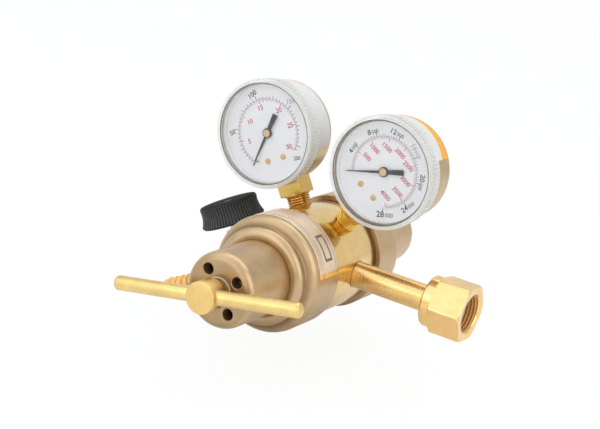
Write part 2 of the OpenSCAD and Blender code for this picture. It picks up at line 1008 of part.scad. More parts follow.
module inlet_filter() {
  color("darkgoldenrod")
    to_inlet()
      translate([0, 0, filter_from])
        cylinder(r = filter_r, h = filter_len, $fn = small_fn);
}

module inlet_washer() {
  color("whitesmoke")
    to_inlet()
      translate([0, 0, washer_from])
        ring(gland_r - 0.3, washer_hole, washer_t, small_fn);
}

// Gauge pieces. The centre is the pinion's axis, +Y is the dial's top and +Z faces the reader.
module gauge_case() {
  difference() {
    turned(concat(
      [[0, -case_back]],
      arc(case_r - case_round, case_round - case_back, case_round, -90, 0, 6),
      [[case_r, case_front - 0.4]],
      [[case_r - 0.4, case_front]],
      [[case_r - case_t, case_front]],
      arc(case_r - case_round, case_round - case_back, case_round - case_t, 0, -90, 6),
      [[0, case_t - case_back]]
    ));
    translate([-socket_w / 2 - free_gap, block_bottom, -socket_w / 2 - free_gap])
      cube([socket_w + 2 * free_gap, block_top - block_bottom, socket_w + 2 * free_gap]);
  }
}

// Section of the curved tube, as an outline in radius and distance
function tube_outline(grow) =
  let(t = tube_half_t + grow, w = tube_half_w - tube_half_t)
  concat(
    [for (p = arc(0, w, t, 0, 180, 6)) [tube_r + p[0], p[1]]],
    [for (p = arc(0, -w, t, 180, 360, 6)) [tube_r + p[0], p[1]]]
  );

module curved_tube(from, to, grow) {
  rotate([0, 0, from])
    rotate_extrude(angle = to - from, $fn = round_fn)
      polygon(tube_outline(grow));
}

module gauge_socket() {
  half = socket_w / 2;
  difference() {
    union() {
      intersection() {
        translate([-half, block_bottom, -half])
          cube([socket_w, block_top - block_bottom, socket_w]);
        rotate([-90, 0, 0])
          turned([
            [0, block_bottom],
            [half + 0.4, block_bottom],
            [half * sqrt(2), block_bottom + 1.6],
            [half * sqrt(2), block_top],
            [0, block_top]
          ]);
      }
      translate([-half, block_top - over, -tube_half_w - 1])
        cube([half - 1, 3 + over, 2 * tube_half_w + 2]);
      rotate([-90, 0, 0])
        turned([
          [0, block_bottom - socket_thread],
          [port_r - 0.8, block_bottom - socket_thread],
          [port_r - fit_gap, block_bottom - socket_thread + 0.8],
          [port_r - fit_gap, block_bottom + 0.5],
          [0, block_bottom + 0.5]
        ], small_fn);
    }
    rotate([-90, 0, 0])
      translate([0, 0, block_bottom - socket_thread - over])
        cylinder(r = passage_r - 0.5, h = socket_thread + block_top - block_bottom - 2, $fn = small_fn);
    curved_tube(tube_end - 22, tube_end + fit_gap, fit_gap);
  }
}

module gauge_lens() {
  inner = case_r + free_gap;
  turned([
    [inner, lens_back - lens_skirt],
    [lens_r - 0.2, lens_back - lens_skirt],
    [lens_r, lens_back + 0.5],
    [lens_r - 0.3, lens_front - 0.4],
    [lens_r - 0.9, lens_front],
    [0, lens_front],
    [0, lens_back],
    [inner, lens_back]
  ]);
}

module gauge_dial(stop) {
  difference() {
    union() {
      translate([0, 0, dial_place])
        cylinder(r = dial_r, h = dial_t, $fn = round_fn);
      if (stop)
        rotate([0, 0, stop_angle])
          translate([0, stop_at, dial_top - 0.1])
            cylinder(r = 0.5, h = 1.9, $fn = small_fn);
    }
    translate([0, 0, dial_place - over])
      cylinder(r = arbor_r + 0.6, h = dial_t + 2 * over, $fn = small_fn);
    for (s = [-1, 1])
      rotate([0, 0, s * screw_angle])
        translate([0, screw_at, dial_place - over])
          cylinder(r = 0.8 + free_gap, h = dial_t + 2 * over, $fn = small_fn);
  }
}

module gauge_dial_screws() {
  for (s = [-1, 1])
    rotate([0, 0, s * screw_angle])
      translate([0, screw_at, 0])
        difference() {
          turned([
            [0, dial_place - 2],
            [0.8, dial_place - 2],
            [0.8, dial_top],
            [1.6, dial_top],
            [1.6, dial_top + 0.3],
            [1.2, dial_top + 0.6],
            [0, dial_top + 0.6]
          ], small_fn);
          translate([-2, -0.2, dial_top + 0.25])
            cube([4, 0.4, 1]);
        }
}

module gauge_pointer(tip) {
  rotate([0, 0, rest_angle])
    difference() {
      union() {
        translate([0, 0, pointer_place])
          linear_extrude(pointer_t)
            polygon([
              [-0.25, tip],
              [0.25, tip],
              [0.85, 2],
              [1, -4],
              [2.2, -pointer_tail + 0.6],
              [1.7, -pointer_tail],
              [-1.7, -pointer_tail],
              [-2.2, -pointer_tail + 0.6],
              [-1, -4],
              [-0.85, 2]
            ]);
        translate([0, 0, pointer_place - 0.3])
          turned([
            [0, 0],
            [2.7, 0],
            [2.7, pointer_t + 0.5],
            [2.3, pointer_t + 0.9],
            [0, pointer_t + 0.9]
          ], small_fn);
      }
      translate([0, 0, pointer_place - over])
        cylinder(r = arbor_r + fit_gap, h = over + pointer_t + 0.4, $fn = small_fn);
    }
}

// Half the angle of an involute tooth at a radius
function involute(a) = tan(a) * 180 / PI - a;
function tooth_half(r, pitch, base, teeth) =
  90 / teeth * 0.88 + involute(acos(base / pitch)) - involute(acos(base / max(r, base)));
function tooth(pitch, root, tip, teeth, at) =
  let(
    base = pitch * cos(pressure_angle),
    from = max(root, base),
    rs = [for (i = [0:3]) from + (tip - from) * i / 3]
  )
  concat(
    [[root, at - tooth_half(root, pitch, base, teeth)]],
    [for (r = rs) [r, at - tooth_half(r, pitch, base, teeth)]],
    [for (i = [3:-1:0]) [rs[i], at + tooth_half(rs[i], pitch, base, teeth)]],
    [[root, at + tooth_half(root, pitch, base, teeth)]]
  );
function polar(points) = [for (p = points) [p[0] * cos(p[1]), p[0] * sin(p[1])]];

module gauge_pinion() {
  translate([0, 0, -plates_half - movement_t - 0.5])
    cylinder(r = arbor_r, h = plates_half + movement_t + 0.5 + pointer_place + pointer_t, $fn = small_fn);
  translate([0, 0, sector_from - 0.6])
    linear_extrude(sector_t + 1.2)
      polygon(polar([
        for (i = [0:pinion_teeth - 1])
          for (p = tooth(pinion_pitch, pinion_pitch - 1.15 * gear_module,
            pinion_pitch + gear_module, pinion_teeth, 270 + 360 / pinion_teeth * i))
            p
      ]));
}

module gauge_sector() {
  step = 360 / sector_teeth;
  middle = 90 - sector_swing / 2;
  root = sector_pitch - 1.2 * gear_module;
  inner = sector_pitch - rim_depth;
  span = (sector_half + 0.9) * step;
  translate([0, -gear_centres, 0])
    difference() {
      union() {
        translate([0, 0, sector_from])
          linear_extrude(sector_t) {
            polygon(polar(concat(
              [[root, middle - span]],
              [for (i = [-sector_half:sector_half])
                for (p = tooth(sector_pitch, root, sector_pitch + 0.68 * gear_module,
                  sector_teeth, middle + step * i))
                  p],
              [[root, middle + span]],
              [for (i = [0:10]) [inner, middle + span - 2 * span * i / 10]]
            )));
            rotate([0, 0, middle - 90])
              translate([-arm_half, 0])
                square([2 * arm_half, inner + 0.8]);
            circle(r = hub_r, $fn = small_fn);
            rotate([0, 0, atan2(tail_y, tail_x)])
              translate([0, -tail_half])
                square([norm([tail_x, tail_y]), 2 * tail_half]);
            translate([tail_x, tail_y])
              circle(r = eye_r, $fn = small_fn);
          }
        translate([tail_x, tail_y, sector_from])
          cylinder(r = pin_r, h = sector_t + link_t + 0.5, $fn = small_fn);
        translate([0, 0, -plates_half - movement_t])
          cylinder(r = arbor_r, h = 2 * (plates_half + movement_t), $fn = small_fn);
      }
    }
}

module movement_outline() {
  shoulder = gear_centres + frame_top / 9;
  leg_bottom = block_top - frame_top;
  polygon([
    [-frame_top, frame_top],
    [frame_top, frame_top],
    [frame_half, -frame_half + hub_r],
    [frame_half, -shoulder],
    [leg_half, -shoulder - hub_r],
    [leg_half, leg_bottom],
    [-leg_half, leg_bottom],
    [-leg_half, -shoulder - hub_r],
    [-frame_half, -shoulder],
    [-frame_half, -frame_half + hub_r]
  ]);
}

module gauge_movement_frame() {
  low = max(plates_half, socket_w / 2);
  difference() {
    union() {
      for (z = [-low - movement_t, low])
        translate([0, 0, z])
          linear_extrude(movement_t)
            movement_outline();
      for (s = [-1, 1])
        translate([s * (frame_half - pillar_r - 0.3), -frame_half + 0.8, -low - 0.1])
          cylinder(r = pillar_r, h = 2 * low + 0.2, $fn = small_fn);
      for (s = [-1, 1])
        rotate([0, 0, s * screw_angle])
          translate([0, screw_at, low + 0.1])
            cylinder(r = pillar_r + 0.5, h = dial_place - low - 0.1, $fn = small_fn);
    }
    for (y = [0, -gear_centres])
      translate([0, y, -low - movement_t - over])
        cylinder(r = arbor_r + run_gap, h = 2 * (low + movement_t + over), $fn = small_fn);
    for (s = [-1, 1])
      rotate([0, 0, s * screw_angle])
        translate([0, screw_at, dial_place - 2.2])
          cylinder(r = 0.8 + fit_gap, h = 4, $fn = small_fn);
  }
}

module gauge_tube() {
  curved_tube(tip_angle, tube_end, 0);
  difference() {
    union() {
      rotate([0, 0, tip_angle - 2])
        rotate_extrude(angle = 4, $fn = round_fn)
          translate([tube_r - tube_half_t - 0.3, -tube_half_w - 0.3])
            square([2 * tube_half_t + 0.6, 2 * tube_half_w + 0.6]);
      translate([0, 0, sector_from])
        rotate([0, 0, lug_angle])
          rotate_extrude(angle = tip_angle - lug_angle, $fn = round_fn)
            translate([lug_r - 1.1, 0])
              square([2.2, sector_t]);
      translate([lug_x, lug_y, sector_from])
        cylinder(r = eye_r, h = sector_t, $fn = small_fn);
      translate([lug_x, lug_y, sector_from])
        cylinder(r = pin_r, h = sector_t + link_t + 0.5, $fn = small_fn);
    }
  }
}

module gauge_link() {
  from = [tail_x, tail_y - gear_centres];
  to = [lug_x, lug_y];
  run = to - from;
  translate([0, 0, link_from])
    linear_extrude(link_t)
      difference() {
        union() {
          translate(from)
            circle(r = eye_r, $fn = small_fn);
          translate(to)
            circle(r = eye_r, $fn = small_fn);
          translate(from)
            rotate([0, 0, atan2(run[1], run[0])])
              translate([0, -0.8])
                square([norm(run), 1.6]);
        }
        translate(from)
          circle(r = pin_r + run_gap, $fn = small_fn);
        translate(to)
          circle(r = pin_r + run_gap, $fn = small_fn);
      }
}

module low_case() {
  color("darkgoldenrod")
    to_low()
      gauge_case();
}

module low_socket() {
  color("goldenrod")
    to_low()
      gauge_socket();
}

module low_lens() {
  color("lightcyan", 0.4)
    to_low()
      gauge_lens();
}

module low_dial() {
  color("white")
    to_low()
      gauge_dial(true);
}

module low_dial_screws() {
  color("gold")
    to_low()
      gauge_dial_screws();
}

module low_pointer() {
  color("black")
    to_low()
      gauge_pointer(low_tip);
}

module low_pinion() {
  color("gold")
    to_low()
      gauge_pinion();
}

module low_sector() {
  color("gold")
    to_low()
      gauge_sector();
}

module low_movement_frame() {
  color("darkkhaki")
    to_low()
      gauge_movement_frame();
}

module low_tube() {
  color("chocolate")
    to_low()
      gauge_tube();
}

module low_link() {
  color("gold")
    to_low()
      gauge_link();
}

module high_case() {
  color("darkgoldenrod")
    to_high()
      gauge_case();
}

module high_socket() {
  color("goldenrod")
    to_high()
      gauge_socket();
}

module high_lens() {
  color("lightcyan", 0.4)
    to_high()
      gauge_lens();
}

module high_dial() {
  color("white")
    to_high()
      gauge_dial(false);
}

module high_dial_screws() {
  color("gold")
    to_high()
      gauge_dial_screws();
}

module high_pointer() {
  color("black")
    to_high()
      gauge_pointer(high_tip);
}

module high_pinion() {
  color("gold")
    to_high()
      gauge_pinion();
}

module high_sector() {
  color("gold")
    to_high()
      gauge_sector();
}

module high_movement_frame() {
  color("darkkhaki")
    to_high()
      gauge_movement_frame();
}

module high_tube() {
  color("chocolate")
    to_high()
      gauge_tube();
}

module high_link() {
  color("gold")
    to_high()
      gauge_link();
}

// Outlet needle valve. The spindle's axis is Z and the gas leaves toward -X.
module outlet_valve_body() {
  color("goldenrod")
    to_valve()
      difference() {
        union() {
          to_port() {
            translate([0, 0, thread_from])
              cylinder(r = port_r - fit_gap, h = valve_hex_from + 1 - thread_from, $fn = small_fn);
            translate([0, 0, valve_hex_from])
              hexagon(valve_flats, valve_hex_len);
            turned([
              [0, valve_hex_from],
              [barrel_r, valve_hex_from],
              [barrel_r, barb_place - 0.8],
              [barrel_r - 0.8, barb_place],
              [0, barb_place]
            ], small_fn);
          }
          translate([-valve_place, 0, 0])
            turned([
              [0, 0],
              [boss_r, 0],
              [boss_r, boss_top - 0.8],
              [boss_r - 0.8, boss_top],
              [0, boss_top]
            ], small_fn);
        }
        translate([0, 0, -2.5])
          to_port()
            translate([0, 0, thread_from - over])
              cylinder(r = passage_r - 0.2, h = valve_place - thread_from + over, $fn = small_fn);
        translate([-valve_place, 0, -2.5]) {
          cylinder(r = seat_r, h = boss_top, $fn = small_fn);
          translate([0, 0, seat_top + 2.5])
            cylinder(r = spindle_r + 1.4, h = boss_top, $fn = small_fn);
          translate([0, 0, gland_bottom + 2.5])
            cylinder(r = spindle_r + 2.5, h = boss_top, $fn = small_fn);
        }
        to_port()
          translate([0, 0, valve_place + 10.5])
            cylinder(r = outlet_r, h = barb_from, $fn = small_fn);
        drill([-valve_place - 12, 0, -0.5], [-valve_place - 2, 0, 4.5], passage_r - 0.2);
      }
}

module valve_packing_nut() {
  color("goldenrod")
    to_spindle()
      difference() {
        union() {
          translate([0, 0, boss_top])
            intersection() {
              hexagon(packing_flats, packing_top - boss_top);
              turned([
                [0, 0],
                [packing_flats, 0],
                [packing_flats, packing_top - boss_top - 3],
                [packing_flats / 2 - 0.5, packing_top - boss_top],
                [0, packing_top - boss_top]
              ], small_fn);
            }
          translate([0, 0, gland_bottom + 2])
            cylinder(r = spindle_r + 2.5 - fit_gap, h = boss_top - gland_bottom - 1, $fn = small_fn);
        }
        cylinder(r = spindle_r + run_gap, h = packing_top + over, $fn = small_fn);
      }
}

module valve_packing() {
  color("whitesmoke")
    to_spindle()
      translate([0, 0, gland_bottom])
        ring(spindle_r + 2.5 - fit_gap, spindle_r + run_gap, 2, small_fn);
}

module valve_spindle() {
  slope = (spindle_r - seat_r + 0.02) / (5 - seat_top);
  color("lightgray")
    to_spindle()
      difference() {
        turned([
          [0, -1],
          [seat_r - 0.02 - slope * (seat_top + 1), -1],
          [spindle_r, 5],
          [spindle_r, knob_from + knob_h - 4],
          [0, knob_from + knob_h - 4]
        ], small_fn);
        translate([0, 0, knob_from + knob_h - 10])
          cylinder(r = 1.2, h = 7, $fn = small_fn);
      }
}

// Radius of the knob at a share of its height
knob_levels = [
  [0, knob_r - 0.8, 0],
  [0.06, knob_r - 0.1, 0.3],
  [0.14, knob_r - 0.4, 0.5],
  [0.32, (knob_r + knob_waist) / 2 - 0.3, 0.5],
  [0.55, knob_waist, 0.5],
  [0.78, (knob_top_r + knob_waist) / 2, 0.5],
  [0.93, knob_top_r, 0.4],
  [0.975, knob_top_r - 0.5, 0.2],
  [1, knob_top_r - 1.4, 0]
];

function knob_points() =
  [for (l = knob_levels)
    for (i = [0:2 * knob_ribs - 1])
      let(a = 180 / knob_ribs * i, r = l[1] - (i % 2) * l[2])
      [r * cos(a), r * sin(a), l[0] * knob_h]];

function knob_faces() =
  let(n = 2 * knob_ribs, m = len(knob_levels))
  concat(
    [[for (i = [0:n - 1]) i]],
    [[for (i = [n - 1:-1:0]) (m - 1) * n + i]],
    [for (k = [0:m - 2])
      for (i = [0:n - 1])
        let(j = (i + 1) % n)
        [k * n + i, (k + 1) * n + j, k * n + j]],
    [for (k = [0:m - 2])
      for (i = [0:n - 1])
        let(j = (i + 1) % n)
        [k * n + i, (k + 1) * n + i, (k + 1) * n + j]]
  );

module valve_knob() {
  color("dimgray")
    to_spindle()
      translate([0, 0, knob_from])
        difference() {
          polyhedron(points = knob_points(), faces = knob_faces(), convexity = 6);
          translate([0, 0, -over])
            cylinder(r = spindle_r + fit_gap, h = knob_h - 4 + over, $fn = small_fn);
          translate([0, 0, -over])
            cylinder(r = 1.3, h = knob_h + 2 * over, $fn = small_fn);
          translate([0, 0, knob_h - 1.6])
            cylinder(r = 3.1, h = 4, $fn = small_fn);
          translate([0, 0, -over])
            ring(knob_waist - 2.4, 6, 7 + over);
        }
}

module knob_screw() {
  top = knob_from + knob_h - 1.6;
  color("silver")
    to_spindle()
      difference() {
        turned([
          [0, top - 7.5],
          [1.2 - fit_gap, top - 7.5],
          [1.2 - fit_gap, top],
          [2.9, top],
          [2.9, top + 0.8],
          [2.3, top + 1.4],
          [0, top + 1.4]
        ], small_fn);
        translate([-3, -0.35, top + 0.7])
          cube([6, 0.7, 1]);
      }
}

module hose_barb() {
  color("gold")
    to_valve()
      to_port()
        difference() {
          union() {
            translate([0, 0, barb_place])
              intersection() {
                hexagon(barb_flats, barb_hex_len);
                turned([
                  [0, 0],
                  [barb_flats / 2 + 0.3, 0],
                  [barb_flats, 2.5],
                  [barb_flats, barb_hex_len - 2.5],
                  [barb_flats / 2 + 0.3, barb_hex_len],
                  [0, barb_hex_len]
                ], small_fn);
              }
            turned(concat(
              [[0, valve_place + 11]],
              [[outlet_r - 0.8, valve_place + 11]],
              [[outlet_r - fit_gap, valve_place + 11.8]],
              [[outlet_r - fit_gap, barb_place]],
              [[barb_r, barb_place + 0.5]],
              [[barb_r, barb_place + barb_hex_len]],
              [[barb_r - barb_step, barb_place + barb_hex_len + 0.6]],
              [for (i = [0:barb_count - 1])
                for (p = [
                  [barb_r - barb_step, barb_start + barb_pitch * i],
                  [barb_r, barb_start + barb_pitch * i + 0.1],
                  [barb_r - barb_step, barb_start + barb_pitch * (i + 1) - 0.1]
                ])
                  p],
              [[0, barb_start + barb_len]]
            ), small_fn);
          }
          translate([0, 0, valve_place + 10])
            cylinder(r = nozzle_bore, h = barb_from + barb_len + 20, $fn = small_fn);
        }
}

body();
front_bonnet();
rear_bonnet();
name_plate();
adjusting_screw();
tee_bar();
screw_bushing();
front_spring_button();
front_range_spring();
front_diaphragm_plate();
front_diaphragm();
front_slip_ring();
front_nozzle();
front_valve();
front_valve_spring();
rear_preset_screw();
rear_spring_button();
rear_range_spring();
rear_diaphragm_plate();
rear_diaphragm();
rear_slip_ring();
rear_nozzle();
rear_valve();
rear_valve_spring();
inlet_nipple();
inlet_nut();
inlet_filter();
inlet_washer();
outlet_valve_body();
valve_packing_nut();
valve_packing();
valve_spindle();
valve_knob();
knob_screw();
hose_barb();
low_case();
low_socket();
low_lens();
low_dial();
low_dial_screws();
low_pointer();
low_pinion();
low_sector();
low_movement_frame();
low_tube();
low_link();
high_case();
high_socket();
high_lens();
high_dial();
high_dial_screws();
high_pointer();
high_pinion();
high_sector();
high_movement_frame();
high_tube();
high_link();
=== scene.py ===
"""Two-stage gas regulator.

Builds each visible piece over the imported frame, with its materials, lights and camera."""

import json
import math

import bmesh
import bpy
from mathutils import Matrix, Vector


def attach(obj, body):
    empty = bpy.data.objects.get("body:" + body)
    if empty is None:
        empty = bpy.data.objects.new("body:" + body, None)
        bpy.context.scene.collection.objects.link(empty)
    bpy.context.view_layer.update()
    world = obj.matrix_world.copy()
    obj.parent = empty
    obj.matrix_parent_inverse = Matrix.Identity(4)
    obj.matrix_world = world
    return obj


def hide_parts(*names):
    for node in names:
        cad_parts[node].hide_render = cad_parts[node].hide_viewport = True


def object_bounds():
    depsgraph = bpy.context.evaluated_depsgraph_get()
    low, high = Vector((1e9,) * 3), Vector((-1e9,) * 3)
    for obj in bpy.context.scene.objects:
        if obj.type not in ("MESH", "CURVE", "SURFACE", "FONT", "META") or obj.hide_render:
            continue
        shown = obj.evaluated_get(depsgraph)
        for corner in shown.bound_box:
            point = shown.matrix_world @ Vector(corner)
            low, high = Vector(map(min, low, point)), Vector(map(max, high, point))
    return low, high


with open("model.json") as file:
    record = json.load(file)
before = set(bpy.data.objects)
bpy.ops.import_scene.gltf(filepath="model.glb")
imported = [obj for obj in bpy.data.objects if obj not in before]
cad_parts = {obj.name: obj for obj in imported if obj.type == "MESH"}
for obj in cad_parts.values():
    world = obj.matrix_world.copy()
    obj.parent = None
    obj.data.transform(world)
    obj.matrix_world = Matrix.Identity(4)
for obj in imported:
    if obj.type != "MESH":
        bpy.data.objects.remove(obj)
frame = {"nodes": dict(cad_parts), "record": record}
CAD_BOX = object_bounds()

bl_info = {
    "name": "Gas regulator",
    "version": (1, 0, 0),
    "blender": (4, 5, 0),
    "location": "3D View > Sidebar > Regulator",
    "description": "Builds a two-stage gas regulator with two dial gauges",
    "category": "Mesh",
}

# Sizes in millimetres, in the body's own axes: the bonnets lie along Y and the inlet along X
MM = 0.001
MOUTH_X = 98.2
BODY_R = 29.8
BODY_FRONT = 24.2
BODY_REAR = 16.6
SEAT_R = 28.0
SEAT_FRONT = 34.2
SEAT_REAR = 26.6
FRONT_END = 92.8
REAR_START = 17.0
VENT_PLACE = 12.43
VENT_ANGLE = 38.2
PLATE_LOW = 26.05
PLATE_HIGH = 45.05
HEAD_FROM = 97.8
HEAD_END = 109.0
HEAD_R = 8.3
BAR_PLACE = 103.5
BAR_ANGLE = 11.1
BAR_R = 3.9
BAR_LEN = 109.0
NUT_FROM = 74.0
NUT_FLATS = 28.575
NUT_TURN = 58.0
NIPPLE_R = 7.3
# Radius of the dark ring of painted shade where the nipple enters the body
SHADE_RING_R = 0.33
GAUGE_RISE = 72.5
CASE_R = 28.0
CASE_BACK = 12.5
CASE_FRONT = 15.0
BAND_BACK = -7.6
BAND_FRONT = 6.2
LENS_R = 30.3
LENS_FRONT = 17.0
LENS_IOR = 1.45
DIAL_TOP = 11.6
PRINT_TOP = DIAL_TOP + 0.03
SOCKET_FROM = 35.7
OUTLET_DROP = 27.7
OUTLET_PLACE = 5.2
VALVE_LEAN = 6.0
VALVE_PLACE = 45.7
KNOB_FROM = 29.1
KNOB_H = 12.7
KNOB_TOP = KNOB_FROM + KNOB_H

# Camera in metres from the body's centre, and its lens in millimetres
CAMERA_AT = (0.3399, -0.6601, 0.2370)
CAMERA_RIGHT = (0.8447, 0.5064, 0.1733)
CAMERA_UP = (-0.2870, 0.1553, 0.9452)
CAMERA_LENS = 84.51

# Each lamp's place, size, power and colour, in metres and watts
LAMPS = {
    "key": ((-0.75, -0.75, 1.05), (1.8, 1.5), 5.2, (0.84, 1.0, 1.25)),
    "side": ((1.0, -0.35, 0.65), (1.0, 1.2), 4.2, (1, 1, 1)),
    "top": ((-0.1, 0.35, 1.25), (1.4, 1.0), 5.0, (0.88, 1.0, 1.18)),
    "front": ((-0.35, -1.35, 0.15), (2.0, 1.5), 6.6, (1, 1, 1)),
}
LAMP_AIM = (-0.1, 0.0, 0.02)
ROOM_LIGHT = 0.85
ROOM_MIRRORED = 0.4
FLOOR_GLOW = 0.92


def turn(degrees, axis):
    return Matrix.Rotation(math.radians(degrees), 4, axis)


def shift(x, y, z):
    return Matrix.Translation((x, y, z))


# Places of the groups of pieces, in millimetres
METRES = Matrix.Scale(MM, 4)
BODY = shift(-MOUTH_X, 0, 0)
FRONT = BODY @ turn(90, "X")
REAR = BODY @ turn(-90, "X")
INLET = BODY @ turn(90, "Y")
BAR = FRONT @ shift(0, 0, BAR_PLACE) @ turn(BAR_ANGLE, "Z") @ turn(90, "Y")
VALVE = BODY @ shift(0, OUTLET_PLACE, 0) @ turn(-OUTLET_DROP, "Y") @ turn(VALVE_LEAN, "X")
SPINDLE = VALVE @ shift(-VALVE_PLACE, 0, 0)
PORT = VALVE @ turn(-90, "Y")
# Each gauge's place along the body and its lean in degrees
GAUGE_STANDS = {"low": (4.5, -30.2), "high": (2.6, 31.4)}
GAUGES = {
    side: BODY @ shift(0, at, 0) @ turn(lean, "Y") @ turn(90, "X") @ shift(0, GAUGE_RISE, 0)
    for side, (at, lean) in GAUGE_STANDS.items()
}

# What differs between the two gauges: colours, the band's start, its coloured edge's start, sweep and width,
# and the pointer's length
# Painted light and shade on each gauge's lip ring under the lens: pale on the low gauge, dark on the high one
CASE_LIP_LIGHT_AND_SHADE = {"low": (0.62, 0.60, 0.56), "high": (0.40, 0.34, 0.27)}
# Painted light and shade on each pipe thread: darker on the low gauge, brighter on the high one
THREAD_LIGHT_AND_SHADE = {"low": (0.62, 0.33, 0.07), "high": (0.92, 0.62, 0.12)}
BAND_START = {"low": -33, "high": 57}
BAND_EDGE = {"low": (47, 20, 1.4), "high": (57, 88, 6.6)}
POINTER_TIP = {"low": 20.4, "high": 22.7}

# Scales: where they start and how far they go in degrees, and the outer unit in the inner one
SCALE_START = -135
SCALE_SWEEP = 270.0
OUTER_UNIT = 6.894757
# Each row of marks: print, number, units between two, radius, length and width
MARKS = {
    "low": (
        ("black", 42, 5, 18.95, 1.1, 0.32),
        ("black", 9, 25, 18.95, 1.8, 0.28),
        ("black", 5, 50, 18.95, 2.6, 0.36),
        ("red", 61, 0.5, 17.55, 0.8, 0.2),
        ("red", 31, 1, 17.15, 1.2, 0.22),
        ("red", 7, 5, 16.35, 2.0, 0.34),
    ),
    "high": (
        ("black", 56, 500, 18.95, 1.0, 0.2),
        ("black", 8, 4000, 18.95, 2.4, 0.34),
        ("red", 81, 50, 17.55, 0.8, 0.18),
        ("red", 41, 100, 17.25, 1.1, 0.2),
        ("red", 9, 500, 16.35, 2.0, 0.34),
    ),
}
# Outer numerals: number, print, radius, angle, tilt and height
OUTER_NUMERALS = {
    "low": (
        (50, "black", 23.2, -74, 8, 2.7),
        (100, "black", 23.2, -7, 20, 2.9),
        (150, "worn", 23.2, 57, -10, 2.5),
        (200, "black", 22.2, 143, -10, 2.2),
    ),
    "high": (
        (4, "black", 22.1, -101, 101, 2.9),
        (8, "black", 22.1, -61.5, 61.5, 2.9),
        (12, "black", 22.1, -23, 23, 2.9),
        (16, "worn", 22.1, 14, -14, 2.9),
        (20, "black", 22.1, 57.5, -57.5, 2.9),
        (24, "black", 22.1, 98.5, 81.5, 2.9),
        (28, "black", 22.5, 136, 44, 3.3),
    ),
}
# Inner numerals: their step, radius, first angle and height, and how far each is off its place
INNER_NUMERALS = {
    "low": (
        5, 14.1, -138, 2.7,
        ((0.9, -0.3), (1.4, -0.3), (0.6, 0.5), (1.2, -0.3), (0.9, -0.3), (0.1, -0.9)),
    ),
    "high": (
        500, 12.9, -137, 2.5,
        ((0.2, 1.3), (-0.1, 0.3), (-0.1, 0.1), (0, 0.9), (0.6, 1.4), (-0.1, 0.1), (-0.1, 0.1), (-0.4, 0.3)),
    ),
}
SMALL_ZEROS = 0.72
FONT_SIZE = 1.38
WORD_GAP = 0.16


# Sizes and colours that a user would change


class RegulatorSizes(bpy.types.PropertyGroup):
    knob_ribs: bpy.props.IntProperty(
        name="Knob ribs", description="Ribs around the needle valve's knob", default=60, min=24, max=90
    )
    lens_ribs: bpy.props.IntProperty(
        name="Lens ribs", description="Ribs around the skirt of each lens", default=90, min=30, max=140
    )
    thread_pitch: bpy.props.FloatProperty(
        name="Inlet thread pitch",
        description="Pitch of the inlet nut's thread",
        default=0.001814,
        min=0.001,
        max=0.003,
        subtype="DISTANCE",
        unit="LENGTH",
    )
    low_full: bpy.props.FloatProperty(
        name="Low scale", description="Highest pressure on the low dial's inner scale", default=30.0
    )
    high_full: bpy.props.FloatProperty(
        name="High scale", description="Highest pressure on the high dial's inner scale", default=4000.0
    )


def colour_prop(name, description, default):
    return bpy.props.FloatVectorProperty(
        name=name, description=description, default=default, size=3, min=0, max=1, subtype="COLOR"
    )


class RegulatorColours(bpy.types.PropertyGroup):
    bonnet: colour_prop("Bonnet", "Satin metal of the two bonnets", (0.54, 0.385, 0.215))
    body: colour_prop("Body", "Polished brass of the body", (0.78, 0.55, 0.23))
    socket: colour_prop("Sockets", "Brass of the gauge sockets", (0.62, 0.41, 0.115))
    bar: colour_prop("Tee bar", "Bright brass of the tee bar and screw", (0.76, 0.55, 0.21))
    inlet: colour_prop("Inlet", "Pale brass of the inlet nut", (0.88, 0.585, 0.24))
    plate: colour_prop("Plate", "Foil of the bare plate", (0.78, 0.60, 0.43))
    case: colour_prop("Case", "Brass of the gauge cases", (0.52, 0.40, 0.22))
    knob: colour_prop("Knob", "Black plastic of the knob", (0.026, 0.026, 0.027))
    dial: colour_prop("Dial", "White enamel of the dials", (0.94, 0.94, 0.945))
    black_print: colour_prop("Black print", "Outer scales", (0.045, 0.05, 0.06))
    red_print: colour_prop("Red print", "Inner scales", (0.54, 0.05, 0.11))


def sizes():
    return bpy.context.scene.regulator_sizes


def colours():
    return bpy.context.scene.regulator_colours


# Nodes, for both materials and shapes


def fill(tree, made, inputs):
    """Gives each named input of a node its value, or a link from another node's output."""
    for key, value in inputs.items():
        if isinstance(value, bpy.types.NodeSocket):
            tree.links.new(value, made.inputs[key])
        else:
            made.inputs[key].default_value = value


def node(tree, kind, inputs=None, output=0, **settings):
    """Adds a node with its settings and inputs, and gives one of its outputs."""
    made = tree.nodes.new(kind)
    for key, value in settings.items():
        setattr(made, key, value)
    fill(tree, made, inputs or {})
    return made.outputs[output]


def maths(tree, operation, *values):
    return node(tree, "ShaderNodeMath", dict(enumerate(values)), operation=operation)


def vector_of(tree, x=0.0, y=0.0, z=0.0):
    return node(tree, "ShaderNodeCombineXYZ", {"X": x, "Y": y, "Z": z})


def split(tree, vector):
    """The X, Y and Z of a vector."""
    return node(tree, "ShaderNodeSeparateXYZ", {"Vector": vector}).node.outputs


# Materials


def surface(build):
    """Turns a function that fills in a material's nodes into one that gives the material of a name."""

    def make(name, *values, **named):
        mat = bpy.data.materials.get(name)
        if mat is None:
            mat = bpy.data.materials.new(name)
            mat.use_nodes = True
            shader = next(n for n in mat.node_tree.nodes if n.type == "BSDF_PRINCIPLED")
            build(mat.node_tree, shader, *values, **named)
        return mat

    return make


def mixed(tree, share, one, other):
    """Feeds the tree's output with a mix of two shaders."""
    out = next(n for n in tree.nodes if n.type.startswith("OUTPUT_"))
    fill(tree, out, {"Surface": node(tree, "ShaderNodeMixShader", {"Fac": share, 1: one, 2: other})})


def placed(tree, place):
    """Object coordinates in metres, turned so that a piece's own axis is Z and its centre is the origin."""
    back = place.to_3x3().inverted()
    values = {
        "Vector": node(tree, "ShaderNodeTexCoord", output="Object"),
        "Rotation": back.to_euler(),
        "Location": -(back @ (place.to_translation() * MM)),
    }
    return node(tree, "ShaderNodeMapping", values)


